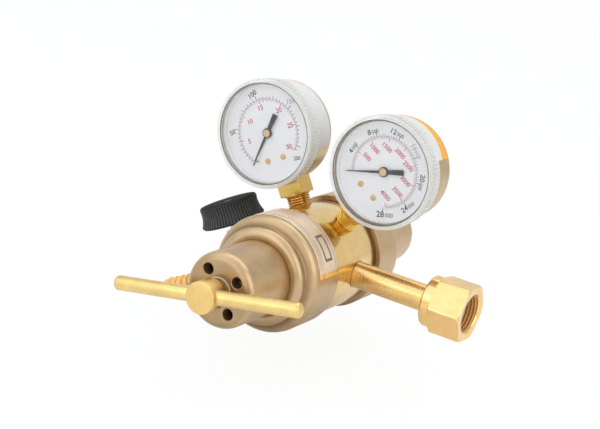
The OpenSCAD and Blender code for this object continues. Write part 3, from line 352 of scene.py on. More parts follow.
def noise(tree, vector, scale, detail, rough):
    values = {"Vector": vector, "Scale": scale, "Detail": detail, "Roughness": rough}
    return node(tree, "ShaderNodeTexNoise", values)


def ramp(tree, fac, low, high, start=0.3, end=0.7):
    values = {"Value": fac, "From Min": start, "From Max": end, "To Min": low, "To Max": high}
    return node(tree, "ShaderNodeMapRange", values)


def tint(tree, fac, dark, light, blend="MIX"):
    """A colour between two. Each is a value or another node's output."""
    values = {"Factor": fac, "A": dark, "B": light}
    for key, value in values.items():
        if isinstance(value, tuple):
            values[key] = (*value, 1)
    return node(tree, "ShaderNodeMix", values, "Result", data_type="RGBA", blend_type=blend)


def shades(tree, fac, colour, dark, light, start=0.3, end=0.7):
    """A colour that goes from one factor of itself to another as a noise rises."""
    ends = [tuple(min(1.0, c * factor) for c in colour) for factor in (dark, light)]
    return tint(tree, ramp(tree, fac, 0, 1, start, end), *ends)


def bump(tree, height, strength, distance):
    return node(tree, "ShaderNodeBump", {"Height": height, "Strength": strength, "Distance": distance})


def turned_rings(tree, vector, scale):
    """Noise that changes along the axis and the radius but hardly around, as a lathe leaves it."""
    x, y, z = split(tree, vector)
    radius = node(tree, "ShaderNodeVectorMath", {0: vector_of(tree, x, y)}, "Value", operation="LENGTH")
    return noise(tree, vector_of(tree, radius, 0.0, z), scale, 6.0, 0.65)


@surface
def brass(tree, shader, colour, place, rough, rings=0.25, scale=900.0):
    """Machined brass: fine lathe rings about the piece's axis, faint tarnish and handling marks."""
    vector = placed(tree, place)
    turned = turned_rings(tree, vector, scale)
    patches = noise(tree, vector, 90.0, 5.0, 0.6)
    grime_and_shade = noise(tree, vector, 420.0, 3.0, 0.6)
    worn = ramp(tree, turned, -0.05, 0.07)
    values = {
        "Base Color": shades(tree, patches, colour, 0.88, 1.06),
        "Roughness": maths(tree, "ADD", worn, ramp(tree, grime_and_shade, rough * 0.9, rough * 1.15)),
        "Metallic": 1.0,
        "Normal": bump(tree, turned, rings, 0.00004),
    }
    fill(tree, shader, values)


def steel(name, colour, rough, place=BODY):
    return brass(name, colour, place, rough, 0.15, 1400.0)


@surface
def bonnet_metal(tree, shader, place=BODY, shade_bands=()):
    """Tumbled casting with a tan satin finish: soft grain and faint mottling.

    Painted shade darkens it towards the bottom and in bands along its axis. Each band is the place of its
    middle, its half width and how strong the painted shade is."""
    vector = placed(tree, place)
    mottle = noise(tree, vector, 130.0, 5.0, 0.62)
    cloud = noise(tree, vector, 28.0, 3.0, 0.5)
    height = split(tree, placed(tree, BODY))["Z"]
    colour = shades(tree, mottle, colours().bonnet, 0.90, 1.06)
    colour = tint(tree, ramp(tree, cloud, 0.0, 0.35), colour, (0.86, 0.80, 0.74), "MULTIPLY")
    # Painted shade: darker towards the bottom of the body
    colour = tint(tree, ramp(tree, height, 0.5, 0.0, -0.028, -0.010), colour, (0.42, 0.34, 0.26), "MULTIPLY")
    # Painted shade in bands along the bonnet's axis
    if shade_bands:
        along = split(tree, vector)["Z"]
        grime_and_shade = 0.0
        for middle, half, most in shade_bands:
            away = maths(tree, "ABSOLUTE", maths(tree, "SUBTRACT", along, middle * MM))
            grime_and_shade = maths(tree, "ADD", ramp(tree, away, most, 0.0, half * 0.4 * MM, half * MM), grime_and_shade)
        colour = tint(tree, grime_and_shade, colour, (0.40, 0.30, 0.20), "MULTIPLY")
    values = {
        "Base Color": colour,
        "Roughness": ramp(tree, mottle, 0.29, 0.38),
        "Metallic": 0.85,
        "Normal": bump(tree, noise(tree, vector, 2600.0, 3.0, 0.7), 0.18, 0.00003),
    }
    fill(tree, shader, values)


@surface
def foil(tree, shader, colour, metallic=0.55, rough=0.36):
    """Brushed foil, rubbed in places."""
    vector = placed(tree, FRONT)
    wear = noise(tree, vector, 160.0, 5.0, 0.6)
    values = {
        "Base Color": shades(tree, wear, colour, 0.93, 1.05),
        "Roughness": ramp(tree, turned_rings(tree, vector, 1500.0), rough - 0.05, rough + 0.08),
        "Metallic": metallic,
        "Normal": bump(tree, wear, 0.1, 0.00003),
    }
    fill(tree, shader, values)


@surface
def plastic(tree, shader, colour, rough, grain=0.12, shine=0.15, worn=1.5):
    """Moulded plastic, rubber, paper or paint, with paler scuffs."""
    vector = placed(tree, BODY)
    scuffs = noise(tree, vector, 260.0, 6.0, 0.7)
    values = {
        "Base Color": shades(tree, scuffs, colour, 1, worn, 0.45, 0.75),
        "Roughness": ramp(tree, scuffs, rough * 0.9, rough * 1.2),
        "Specular IOR Level": shine,
        "Normal": bump(tree, noise(tree, vector, 2200.0, 3.0, 0.6), grain, 0.00004),
    }
    fill(tree, shader, values)


@surface
def enamel(tree, shader):
    cloud = noise(tree, placed(tree, BODY), 60.0, 3.0, 0.5)
    colour = shades(tree, cloud, colours().dial, 0.98, 1.01)
    fill(tree, shader, {"Base Color": colour, "Roughness": ramp(tree, cloud, 0.38, 0.46)})


@surface
def ink(tree, shader, colour):
    thin = noise(tree, placed(tree, BODY), 900.0, 3.0, 0.6)
    fill(tree, shader, {"Base Color": shades(tree, thin, colour, 1, 1.25), "Roughness": 0.5})


@surface
def clear_lens(tree, shader):
    """Clear moulded plastic: lets the dial show unbent, with a glossy face that mirrors more at a slant.

    The rays go straight through, so the far face mirrors as the near one does, and never wholly."""
    tree.nodes.remove(shader)
    swirl = noise(tree, placed(tree, BODY), 35.0, 2.0, 0.4)
    gloss = {"Color": (1, 1, 1, 1), "Roughness": 0.06, "Normal": bump(tree, swirl, 0.05, 0.0002)}
    far_face = node(tree, "ShaderNodeNewGeometry", output="Backfacing")
    slant = node(tree, "ShaderNodeFresnel", {"IOR": ramp(tree, far_face, LENS_IOR, 1 / LENS_IOR, 0, 1)})
    see = node(tree, "ShaderNodeBsdfTransparent", {"Color": (0.924, 0.922, 0.921, 1)})
    mixed(tree, slant, see, node(tree, "ShaderNodeBsdfAnisotropic", gloss))


@surface
def rim_plastic(tree, shader):
    """The lens's thick rim and skirt, which show the light they gather as a milky band."""
    cloud = noise(tree, placed(tree, BODY), 70.0, 3.0, 0.5)
    colour = tint(tree, ramp(tree, cloud, 0, 1), (0.82, 0.82, 0.78), (0.88, 0.88, 0.85))
    fill(tree, shader, {"Base Color": colour, "Roughness": ramp(tree, cloud, 0.14, 0.22)})
    see = node(tree, "ShaderNodeBsdfTransparent", {"Color": (0.97, 0.97, 0.96, 1)})
    mixed(tree, 0.5, see, shader.outputs["BSDF"])


@surface
def floor_paper(tree, shader):
    """White paper with a faint fibre, which the camera sees nearly as bright as the room."""
    fibre = noise(tree, node(tree, "ShaderNodeTexCoord", output="Object"), 400.0, 3.0, 0.6)
    fill(tree, shader, {"Base Color": tint(tree, fibre, (0.84,) * 3, (0.88,) * 3), "Roughness": 0.9})
    camera_ray = node(tree, "ShaderNodeLightPath", output="Is Camera Ray")
    glow = node(tree, "ShaderNodeEmission", {"Strength": 1.0})
    mixed(tree, maths(tree, "MULTIPLY", camera_ray, FLOOR_GLOW), shader.outputs["BSDF"], glow)


# Outlines: lists of points, each a radius and a distance along the axis


def polar(radius, degrees):
    a = math.radians(degrees)
    return radius * math.cos(a), radius * math.sin(a)


def clockwise(radius, degrees):
    """A point of the dial, counted from its top."""
    return polar(radius, 90 - degrees)


def arc(x, y, r, start, end, n):
    points = [polar(r, start + (end - start) * i / n) for i in range(n + 1)]
    return [(x + a, y + b) for a, b in points]


def first_round(r, z, soft, n=4):
    """The rounded outer corner where an outline begins to rise along the axis."""
    return arc(r - soft, z + soft, soft, -90, 0, n)


def last_round(r, z, soft, n=4):
    """The rounded outer corner where it ends."""
    return arc(r - soft, z - soft, soft, 0, 90, n)


def flat_ring(inner, outer, low, high):
    return [(inner, low), (outer, low), (outer, high), (inner, high)]


def hexagon(flats, offset, soft):
    """Radius of a hexagon with slightly rounded corners, as a function of the angle."""

    def radius(degrees):
        near = (degrees - offset) % 60.0 - 30.0
        first = flats / 2 / math.cos(math.radians(near))
        other = flats / 2 / max(0.2, math.cos(math.radians(60.0 - abs(near))))
        h = max(0.0, soft - abs(first - other)) / soft
        return min(first, other) - h * h * soft * 0.25

    return radius


def corner_of(flats):
    return flats / 2 / math.cos(math.radians(30))


def under(shape, limit):
    """The smaller of a hexagon's radius and a chamfer's."""
    return lambda degrees: min(shape(degrees), limit)


def chamfered_hexagon(flats, low, high, chamfer, offset=0.0):
    """Outline of a hexagon with both its edges chamfered."""
    shape = hexagon(flats, offset, 0.3)
    face = flats / 2 - 0.2
    steps = []
    for i in range(1, 6):
        limit = face + (corner_of(flats) - face) * i / 5
        steps.append((under(shape, limit), chamfer * (i / 5) ** 1.6))
    return [
        (face, low),
        *((limit, low + rise) for limit, rise in steps),
        (shape, (low + high) / 2),
        *((limit, high - rise) for limit, rise in reversed(steps)),
        (face, high),
    ]


# Meshes


def linked(name, data):
    """A new object in the scene."""
    made = bpy.data.objects.new(name, data)
    bpy.context.scene.collection.objects.link(made)
    return made


def smoothed(mesh, sharp):
    mesh.shade_smooth()
    mesh.set_sharp_from_angle(angle=math.radians(sharp))


def finish_mesh(name, bm, place, materials, sharp=35.0):
    bm.transform(METRES @ place)
    bmesh.ops.remove_doubles(bm, verts=bm.verts, dist=1e-7)
    bmesh.ops.recalc_face_normals(bm, faces=bm.faces)
    mesh = bpy.data.meshes.new(name)
    bm.to_mesh(mesh)
    bm.free()
    smoothed(mesh, sharp)
    for mat in materials:
        mesh.materials.append(mat)
    return linked(name, mesh)


def skin(bm, rows, index=0, closed=False):
    """Faces from each row of points to the next. The ends are capped, unless the last row meets the first."""
    faces = [] if closed else [rows[0], rows[-1]]
    for one, two in zip(rows, rows[1:] + rows[:1] if closed else rows[1:]):
        for k in range(len(one)):
            j = (k + 1) % len(one)
            faces.append([one[k], one[j], two[j], two[k]])
    for face in faces:
        bm.faces.new(face).material_index = index


def revolve_into(bm, outline, steps=144, start=0.0, sweep=360.0, index=0):
    """Turns a closed outline of (radius, distance) about Z. A radius may be a function of the angle."""
    whole = sweep >= 360.0
    count = steps if whole else steps + 1
    rows = []
    for radius, distance in outline:
        if not callable(radius) and radius < 1e-6:
            rows.append([bm.verts.new((0, 0, distance))])
            continue
        row = []
        for i in range(count):
            degrees = start + sweep * i / steps
            r = radius(degrees) if callable(radius) else radius
            row.append(bm.verts.new((*polar(r, degrees), distance)))
        rows.append(row)
    for one, two in zip(rows, rows[1:] + rows[:1]):
        if len(one) == 1 and len(two) == 1:
            continue
        for i in range(steps):
            j = (i + 1) % count
            corners = [one[i % len(one)], one[j % len(one)], two[j % len(two)], two[i % len(two)]]
            corners = list(dict.fromkeys(corners))
            if len(corners) > 2:
                bm.faces.new(corners).material_index = index
    if not whole:
        for end in (0, -1):
            bm.faces.new([row[end] for row in rows]).material_index = index


def turned_piece(name, outline, place, materials, steps=144, sharp=35.0, start=0.0, zone=None):
    """A whole turn of an outline. The zone gives a face's material number from its radius and distance."""
    bm = bmesh.new()
    revolve_into(bm, outline, steps, start)
    if zone:
        for face in bm.faces:
            middle = face.calc_center_median()
            face.material_index = zone(middle.xy.length, middle.z)
    return finish_mesh(name, bm, place, materials, sharp)


def box_piece(name, low, high, bevel, place, material, sharp=35.0):
    bm = bmesh.new()
    bmesh.ops.create_cube(bm, size=1.0)
    for v in bm.verts:
        v.co = Vector((v.co[i] * (high[i] - low[i]) + (low[i] + high[i]) / 2 for i in range(3)))
    bmesh.ops.bevel(bm, geom=list(bm.edges), offset=bevel, segments=3, profile=0.5, affect="EDGES")
    return finish_mesh(name, bm, place, [material], sharp)


def joined(name, pieces):
    """One object from several, with their material slots."""
    bm = bmesh.new()
    materials = []
    for piece in pieces:
        start = len(bm.faces)
        bm.from_mesh(piece.data)
        bm.faces.ensure_lookup_table()
        slots = []
        for mat in piece.data.materials:
            if mat not in materials:
                materials.append(mat)
            slots.append(materials.index(mat))
        for face in bm.faces[start:]:
            face.material_index = slots[min(face.material_index, len(slots) - 1)]
        bpy.data.objects.remove(piece)
    mesh = bpy.data.meshes.new(name)
    bm.to_mesh(mesh)
    bm.free()
    for mat in materials:
        mesh.materials.append(mat)
    return linked(name, mesh)


def baked(piece):
    """Turns the evaluated shape into a plain mesh and removes the modifiers."""
    graph = bpy.context.evaluated_depsgraph_get()
    mesh = bpy.data.meshes.new_from_object(
        piece.evaluated_get(graph), preserve_all_data_layers=True, depsgraph=graph
    )
    piece.modifiers.clear()
    piece.data = mesh


def cut(piece, tools):
    """Subtracts the tools from the piece and bakes the result."""
    for tool in tools:
        mod = piece.modifiers.new("cut", "BOOLEAN")
        mod.operation = "DIFFERENCE"
        mod.solver = "EXACT"
        mod.object = tool
    baked(piece)
    for tool in tools:
        bpy.data.objects.remove(tool)
    smoothed(piece.data, 35)


def stand_for(piece, body, slot, *nodes):
    """Puts a finished piece on its body in place of its CAD nodes."""
    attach(piece, body)
    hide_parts(*nodes)


# Geometry Nodes


def new_tree(name, **inputs):
    """An empty tree with named inputs and a material, and the outputs of its input node."""
    tree = bpy.data.node_groups.new(name, "GeometryNodeTree")
    tree.interface.new_socket(name="Geometry", in_out="OUTPUT", socket_type="NodeSocketGeometry")
    for label, value in inputs.items():
        kind = "NodeSocketInt" if isinstance(value, int) else "NodeSocketFloat"
        socket = tree.interface.new_socket(name=label.replace("_", " "), in_out="INPUT", socket_type=kind)
        socket.default_value = value
    tree.interface.new_socket(name="Material", in_out="INPUT", socket_type="NodeSocketMaterial")
    return tree, tree.nodes.new("NodeGroupInput").outputs


def finish_tree(tree, geometry, material):
    real = node(tree, "GeometryNodeRealizeInstances", {"Geometry": geometry})
    painted = node(tree, "GeometryNodeSetMaterial", {"Geometry": real, "Material": material})
    fill(tree, tree.nodes.new("NodeGroupOutput"), {"Geometry": painted})
    return tree


def copies(tree, count, piece, angle, at):
    """Copies of a piece at a place and an angle about Z, both worked out from the copy's index."""
    line = node(tree, "GeometryNodeMeshLine", {"Count": count, "Offset": (0, 0, 0)}, mode="OFFSET")
    line = node(tree, "GeometryNodeSetPosition", {"Geometry": line, "Position": at})
    values = {"Points": line, "Instance": piece, "Rotation": vector_of(tree, z=angle)}
    return node(tree, "GeometryNodeInstanceOnPoints", values)


def swept(tree, curve, radius, sides):
    """A bar along a curve, with a section of a few sides."""
    values = {"Resolution": sides, "Radius": radius}
    section = node(tree, "GeometryNodeCurvePrimitiveCircle", values, mode="RADIUS")
    return node(tree, "GeometryNodeCurveToMesh", {"Curve": curve, "Profile Curve": section, "Fill Caps": True})


def scale_marks():
    """Marks spread along an arc, counted clockwise from the dial's top."""
    tree, given = new_tree(
        "scale_marks", Count=10, From=-2.356, Step=0.1, Radius=18.0, Length=1.0, Width=0.15, Height=0.02
    )
    index = node(tree, "GeometryNodeInputIndex")
    angle = maths(tree, "MULTIPLY_ADD", index, given["Step"], given["From"])
    middle = maths(tree, "MULTIPLY_ADD", given["Length"], 0.5, given["Radius"])
    at = [maths(tree, "MULTIPLY", maths(tree, part, angle), middle) for part in ("SINE", "COSINE")]
    size = vector_of(tree, given["Width"], given["Length"], given["Height"])
    mark = node(tree, "GeometryNodeMeshCube", {"Size": size})
    marks = copies(tree, given["Count"], mark, maths(tree, "MULTIPLY", angle, -1.0), vector_of(tree, *at))
    return finish_tree(tree, marks, given["Material"])


def side_ribs():
    """Rounded ribs around an axis, each following a bowed side."""
    radii = {"Low_Radius": 18.0, "Waist_Radius": 14.0, "High_Radius": 16.0, "Rib_Radius": 0.5}
    tree, given = new_tree("side_ribs", Count=60, Low=0.0, High=14.0, **radii)
    half = maths(tree, "MULTIPLY", maths(tree, "ADD", given["Low"], given["High"]), 0.5)
    values = {
        "Resolution": 10,
        "Start": vector_of(tree, given["Low Radius"], 0.0, given["Low"]),
        "Middle": vector_of(tree, given["Waist Radius"], 0.0, half),
        "End": vector_of(tree, given["High Radius"], 0.0, given["High"]),
    }
    rib = swept(tree, node(tree, "GeometryNodeCurveQuadraticBezier", values), given["Rib Radius"], 8)
    step = maths(tree, "DIVIDE", 2 * math.pi, given["Count"])
    angle = maths(tree, "MULTIPLY", node(tree, "GeometryNodeInputIndex"), step)
    return finish_tree(tree, copies(tree, given["Count"], rib, angle, (0, 0, 0)), given["Material"])


def thread_ridge():
    """A screw thread's ridge, wound along a helix."""
    tree, given = new_tree("thread_ridge", Radius=10.0, Pitch=1.8, Turns=5.0, Ridge=0.8)
    values = {
        "Resolution": 64,
        "Rotations": given["Turns"],
        "Start Radius": given["Radius"],
        "End Radius": given["Radius"],
        "Height": maths(tree, "MULTIPLY", given["Pitch"], given["Turns"]),
    }
    helix = node(tree, "GeometryNodeCurveSpiral", values)
    upright = node(tree, "GeometryNodeSetCurveNormal", {"Curve": helix}, mode="Z_UP")
    return finish_tree(tree, swept(tree, upright, given["Ridge"], 4), given["Material"])


def from_tree(name, maker, place, material, smooth=True, **values):
    """Runs the maker's tree with its inputs set, and bakes the result into a plain mesh in place."""
    tree = bpy.data.node_groups.get(maker.__name__) or maker()
    piece = linked(name, bpy.data.meshes.new(name))
    mod = piece.modifiers.new("shape", "NODES")
    mod.node_group = tree
    for socket in tree.interface.items_tree:
        label = socket.name.replace(" ", "_")
        if label in values:
            mod[socket.identifier] = values[label]
        elif label == "Material":
            mod[socket.identifier] = material
    baked(piece)
    bm = bmesh.new()
    bm.from_mesh(piece.data)
    bm.transform(METRES @ place)
    bmesh.ops.recalc_face_normals(bm, faces=bm.faces)
    for face in bm.faces:
        face.material_index = 0
    bm.to_mesh(piece.data)
    bm.free()
    piece.data.materials.clear()
    piece.data.materials.append(material)
    if smooth:
        smoothed(piece.data, 40)
    return piece


# Stage and camera


def add_camera(scene):
    data = bpy.data.cameras.new("camera")
    data.sensor_fit = "HORIZONTAL"
    data.sensor_width = 36.0
    data.lens = CAMERA_LENS
    data.clip_start, data.clip_end = 0.01, 20.0
    right, up = Vector(CAMERA_RIGHT), Vector(CAMERA_UP)
    turned = Matrix((right, up, right.cross(up))).transposed()
    scene.camera = linked("camera", data)
    scene.camera.matrix_world = shift(-MOUTH_X * MM, 0, 0) @ shift(*CAMERA_AT) @ turned.to_4x4()


def add_lamp(name, at, size, power, colour):
    data = bpy.data.lights.new(name, "AREA")
    data.shape = "RECTANGLE"
    data.size, data.size_y = size
    data.energy = power
    data.color = colour
    lamp = linked(name, data)
    lamp.location = at
    lamp.rotation_mode = "QUATERNION"
    lamp.rotation_quaternion = (Vector(at) - Vector(LAMP_AIM)).to_track_quat("Z", "Y")


def add_room(scene):
    """White surroundings, which light the part and show in the brass less brightly than the camera sees them."""
    scene.world = bpy.data.worlds.new("studio")
    scene.world.use_nodes = True
    tree = scene.world.node_tree
    tree.nodes.clear()
    tree.nodes.new("ShaderNodeOutputWorld")
    path = node(tree, "ShaderNodeLightPath").node.outputs
    mirrored = maths(tree, "MULTIPLY", path["Is Glossy Ray"], ROOM_MIRRORED)
    seen = maths(tree, "MAXIMUM", path["Is Camera Ray"], mirrored)
    room, white = (
        node(tree, "ShaderNodeBackground", {"Color": (1, 1, 1, 1), "Strength": strength})
        for strength in (ROOM_LIGHT, 1.0)
    )
    mixed(tree, seen, room, white)


def add_floor():
    """A large sheet just under the part."""
    bm = bmesh.new()
    bmesh.ops.create_grid(bm, x_segments=4, y_segments=4, size=6.0)
    bmesh.ops.translate(bm, verts=bm.verts, vec=(0, 0, CAD_BOX[0].z - 0.0005))
    floor = linked("floor", bpy.data.meshes.new("floor"))
    bm.to_mesh(floor.data)
    bm.free()
    floor.data.materials.append(floor_paper("floor_paper"))


class RegulatorStage(bpy.types.Operator):
    """Add the camera, the lamps, the floor and the white surroundings"""

    bl_idname = "regulator.stage"
    bl_label = "Stage"

    def execute(self, context):
        context.scene.view_settings.view_transform = "Standard"
        add_camera(context.scene)
        for name, values in LAMPS.items():
            add_lamp(name, *values)
        add_room(context.scene)
        add_floor()
        return {"FINISHED"}


# Body and bonnets


class RegulatorBody(bpy.types.Operator):
    """Add the polished brass body"""

    bl_idname = "regulator.body"
    bl_label = "Body"

    def execute(self, context):
        outline = [
            (0, -SEAT_FRONT), (SEAT_R - 0.5, -SEAT_FRONT), (SEAT_R, 0.5 - SEAT_FRONT), (SEAT_R, -BODY_FRONT),
            *first_round(BODY_R, -BODY_FRONT, 0.4),
            *last_round(BODY_R, BODY_REAR, 0.4),
            (SEAT_R, BODY_REAR), (SEAT_R, SEAT_REAR - 0.5), (SEAT_R - 0.5, SEAT_REAR), (0, SEAT_REAR),
        ]
        polished = brass("body_polished", colours().body, REAR, 0.16, 0.2)
        shell = turned_piece("body_shell", outline, REAR, [polished], 192)
        stand_for(shell, "root", "body_brass", "body")
        return {"FINISHED"}


def bonnet_outline(big, small, start, lead, lead_len, shoulder, end, edge, clamp, bore, wall, hole):
    """A bonnet's section, from its skirt round its two barrels and back along the inside."""
    k = (big - small) / 11.6
    return [
        (lead, start),
        (lead, start + lead_len - 0.5),
        *arc(big - 0.5, start + lead_len + 0.2, 0.5, -50, 0, 3),
        *arc(big - 5, shoulder - 5, 5, 0, 68, 12),
        (big - k * 3.8, shoulder + 0.1 * k),
        (big - k * 4.5, shoulder + 0.6 * k),
        (big - k * 4.9, shoulder + 1.3 * k),
        *arc(big - k * 9.2, shoulder + k * 1.8, k * 4.1, 5, 125, 20),
        (small, shoulder + k * 5.1),
        *last_round(small, end, edge, 12),
        (hole, end), (hole, end - wall), (bore, end - wall), (bore, shoulder + 5.3),
        (24.0, shoulder - 3.7), (24.0, clamp), (28.1, clamp), (28.1, start),
    ]


FRONT_BONNET = {
    "big": 31.5, "small": 19.9, "start": 24.6, "lead": 31.0, "lead_len": 0.8, "shoulder": 50.7,
    "end": FRONT_END, "edge": 4.6, "clamp": 36.0, "bore": 16.0, "wall": 6.2, "hole": 7.02,
}
REAR_BONNET = {
    "big": 31.9, "small": 18.4, "start": REAR_START, "lead": BODY_R - 0.4, "lead_len": 4.6,
    "shoulder": 46.5, "end": 93.0, "edge": 4.5, "clamp": 28.4, "bore": 14.5, "wall": 10.0, "hole": 4.8,
}


# The rear bonnet's recessed skirt next to the body, which gets painted shade
def in_skirt(r, z):
    return int(z < REAR_START + 4.2 and r > BODY_R - 1)


class RegulatorBonnets(bpy.types.Operator):
    """Add the two satin bonnets, the front one with its vent holes"""

    bl_idname = "regulator.bonnets"
    bl_label = "Bonnets"

    def execute(self, context):
        # Painted shade in the valley behind the shoulder, and a lighter painted shade over the end face
        mat = bonnet_metal("front_bonnet_satin", FRONT, [(52.0, 2.5, 0.7), (FRONT_END, 1.6, 0.3)])
        front = turned_piece("front_bonnet_casting", bonnet_outline(**FRONT_BONNET), FRONT, [mat], 192)
        vent = [(0, 80), (3.0, 80), (3.0, 92.5), (3.35, 92.85), (3.35, 96), (0, 96)]
        places = [FRONT @ shift(*polar(VENT_PLACE, VENT_ANGLE + 90 * i), 0) for i in range(4)]
        cut(front, [turned_piece("vent", vent, place, [mat], 40) for place in places])
        stand_for(front, "root", "bonnet_cast", "front_bonnet")
        # Painted shade in the rear bonnet's valley
        mat = bonnet_metal("rear_bonnet_satin", REAR, [(48.0, 2.2, 0.7)])
        # Painted shade: dark brown on the recessed skirt next to the body
        dark = brass("skirt_dark", (0.22, 0.125, 0.045), REAR, 0.4)
        outline = bonnet_outline(**REAR_BONNET)
        rear = turned_piece("rear_bonnet_casting", outline, REAR, [mat, dark], 192, zone=in_skirt)
        stand_for(rear, "root", "bonnet_cast", "rear_bonnet")
        return {"FINISHED"}


class RegulatorPlate(bpy.types.Operator):
    """Add the bare foil plate on the front bonnet"""

    bl_idname = "regulator.plate"
    bl_label = "Bare plate"

    def execute(self, context):
        bm = bmesh.new()
        section = [
            (31.5, PLATE_LOW), (31.65, PLATE_LOW), (31.7, PLATE_LOW + 0.1),
            (31.7, PLATE_HIGH - 0.1), (31.65, PLATE_HIGH), (31.5, PLATE_HIGH),
        ]
        revolve_into(bm, section, 90, 15.6, 101.6)
        revolve_into(bm, section, 5, 11.2, 4.3, index=1)
        # Each printed line's place, width, start and sweep
        rules = [(43.4, 0.32, 20, 80), (41.9, 0.3, 20, 80), (40.5, 0.25, 24, 60), (28.0, 0.3, 20, 70)]
        box = [(30.6, 1.3, 26, 27), (36.4, 1.3, 26, 27), (30.6, 7.1, 26, 2.8), (30.6, 7.1, 50.2, 2.8)]
        for at, width, start, sweep in rules + box:
            revolve_into(bm, flat_ring(31.68, 31.715, at, at + width), max(2, round(sweep / 2)), start, sweep, 2)
        pale = foil("plate_foil", colours().plate)
        gold = foil("plate_gold", (0.86, 0.64, 0.27), 0.9, 0.25)
        printed = ink("plate_print", (0.115, 0.10, 0.085))
        plate = finish_mesh("bare_plate", bm, FRONT, [pale, gold, printed])
        stand_for(plate, "root", "plate", "name_plate")
        return {"FINISHED"}


# Adjusting screw


class RegulatorTeeScrew(bpy.types.Operator):
    """Add the adjusting screw, its tee bar and its steel bushing"""

    bl_idname = "regulator.tee_screw"
    bl_label = "Tee screw"

    def execute(self, context):
        face = brass("screw_face", (0.78, 0.54, 0.20), FRONT @ shift(0, 0, BAR_PLACE), 0.36, 0.35, 1400.0)
        outline = [
            (0, 75.1), (2, 75.1), (4.76, 77.5), (4.76, HEAD_FROM),
            *first_round(HEAD_R, HEAD_FROM, 0.6),
            *last_round(HEAD_R, HEAD_END, 0.35),
            (0, HEAD_END),
        ]
        screw = turned_piece("tee_screw_head", outline, FRONT, [face], 96)
        cut(screw, [turned_piece("bar_hole", flat_ring(0, BAR_R + 0.02, -20, 20), BAR, [face], 48)])
        stand_for(screw, "tee_screw", "bar_brass", "adjusting_screw")
        half = BAR_LEN / 2
        outline = [(0, -half), *first_round(BAR_R, -half, 1.9, 8), *last_round(BAR_R, half, 1.9, 8), (0, half)]
        drawn = brass("tee_bar_drawn", colours().bar, BAR, 0.27, 0.1)
        bar = turned_piece("tee_bar_rod", outline, BAR, [drawn], 64)
        stand_for(bar, "tee_screw", "bar_brass", "tee_bar")
        outline = [
            (4.81, 86.6), (7.0, 86.6), (7.0, FRONT_END), (7.7, FRONT_END),
            *last_round(7.7, FRONT_END + 0.8, 0.25),
            (5.8, FRONT_END + 0.8), (4.81, FRONT_END - 0.2),
        ]
        pale = steel("bushing_steel", (0.60, 0.57, 0.50), 0.3, FRONT)
        stand_for(turned_piece("steel_bushing", outline, FRONT, [pale], 96), "root", "steel", "screw_bushing")
        return {"FINISHED"}


# Inlet


def nipple_seam(material):
    """A thin dark ring along the line where the nipple enters the body's barrel: painted shade of the gap there.
    """
    bm = bmesh.new()
    rows = []
    for i in range(96):
        across = Vector((0, *polar(1, 3.75 * i)))
        y, z = polar(NIPPLE_R, 3.75 * i)
        at = Vector((math.sqrt(BODY_R**2 - z * z), y, z))
        ways = [polar(SHADE_RING_R, 45 * j) for j in range(8)]
        rows.append([bm.verts.new(at + out * across + along * Vector((1, 0, 0))) for out, along in ways])
    skin(bm, rows, closed=True)
    return finish_mesh("nipple_seam", bm, BODY, [material])


def inlet_nipple():
    outline = [
        (2.2, 15.2), (6.2, 15.2), (6.58, 15.6), (6.58, 28.0), (NIPPLE_R, 28.0), (NIPPLE_R, 82.2),
        (9.4, 82.2), (9.4, 86.6), (9.0, 87.2), (3.22, 87.2), (3.22, 79.0), (2.2, 79.0),
    ]
    satin = brass("nipple_satin", (0.80, 0.52, 0.21), INLET, 0.26, 0.05)
    tube = turned_piece("inlet_nipple_tube", outline, INLET, [satin], 96)
    # Painted shade: dark brown on the ring where the nipple enters the body
    shade_ring = nipple_seam(brass("seam_dark", (0.36, 0.19, 0.055), BODY, 0.4))
    stand_for(joined("inlet_nipple_tube", [tube, shade_ring]), "root", "pale_brass", "inlet_nipple")


def inlet_nut():
    shape = hexagon(NUT_FLATS, NUT_TURN + 90, 0.5)
    corner = corner_of(NUT_FLATS)
    end = MOUTH_X
    rear = [(14.6, 79.65), (15.2, 79.9), (15.9, 80.3), (16.3, 80.7)]
    front = [(0.02, 96.2), (0.15, 96.9), (0.45, 97.5), (0.85, 97.95), (1.1, 98.15), (1.4, end)]
    outline = [
        (7.4, NUT_FROM),
        *first_round(14.0, NUT_FROM, 1.5, 6),
        (14.0, 79.4),
        *((under(shape, limit), z) for limit, z in rear),
        (shape, 81.2), (shape, 90.0),
        *((under(shape, corner - less), z) for less, z in front),
        (11.2, end), (10.9, end - 0.15), (10.35, end - 0.9), (10.35, end - 8.6),
        (10.55, end - 9.0), (10.55, 82.2), (7.4, 82.2),
    ]
    pale = brass("inlet_bright", colours().inlet, INLET, 0.2, 0.25)
    # Painted shade: a darker, more coppery copy of the nut's brass on the thread and the bore inside the mouth
    bore_shade = brass("thread_coppery", (0.64, 0.37, 0.14), INLET, 0.6)

    # Faces of the bore inside the mouth, which get the painted shade
    def zone(r, z):
        return int(82.3 < z < end - 1 and r < 10.9)

    block = turned_piece("nut_body", outline, INLET, [pale, bore_shade], 240, 30, NUT_TURN + 90, zone)
    pitch = sizes().thread_pitch / MM
    at = INLET @ shift(0, 0, end - 9.0)
    values = {"Radius": 10.42, "Pitch": pitch, "Turns": 4.6, "Ridge": pitch * 0.36}
    thread = from_tree("nut_thread", thread_ridge, at, bore_shade, **values)
    stand_for(joined("inlet_nut_hexagon", [block, thread]), "inlet_nut", "pale_brass", "inlet_nut")


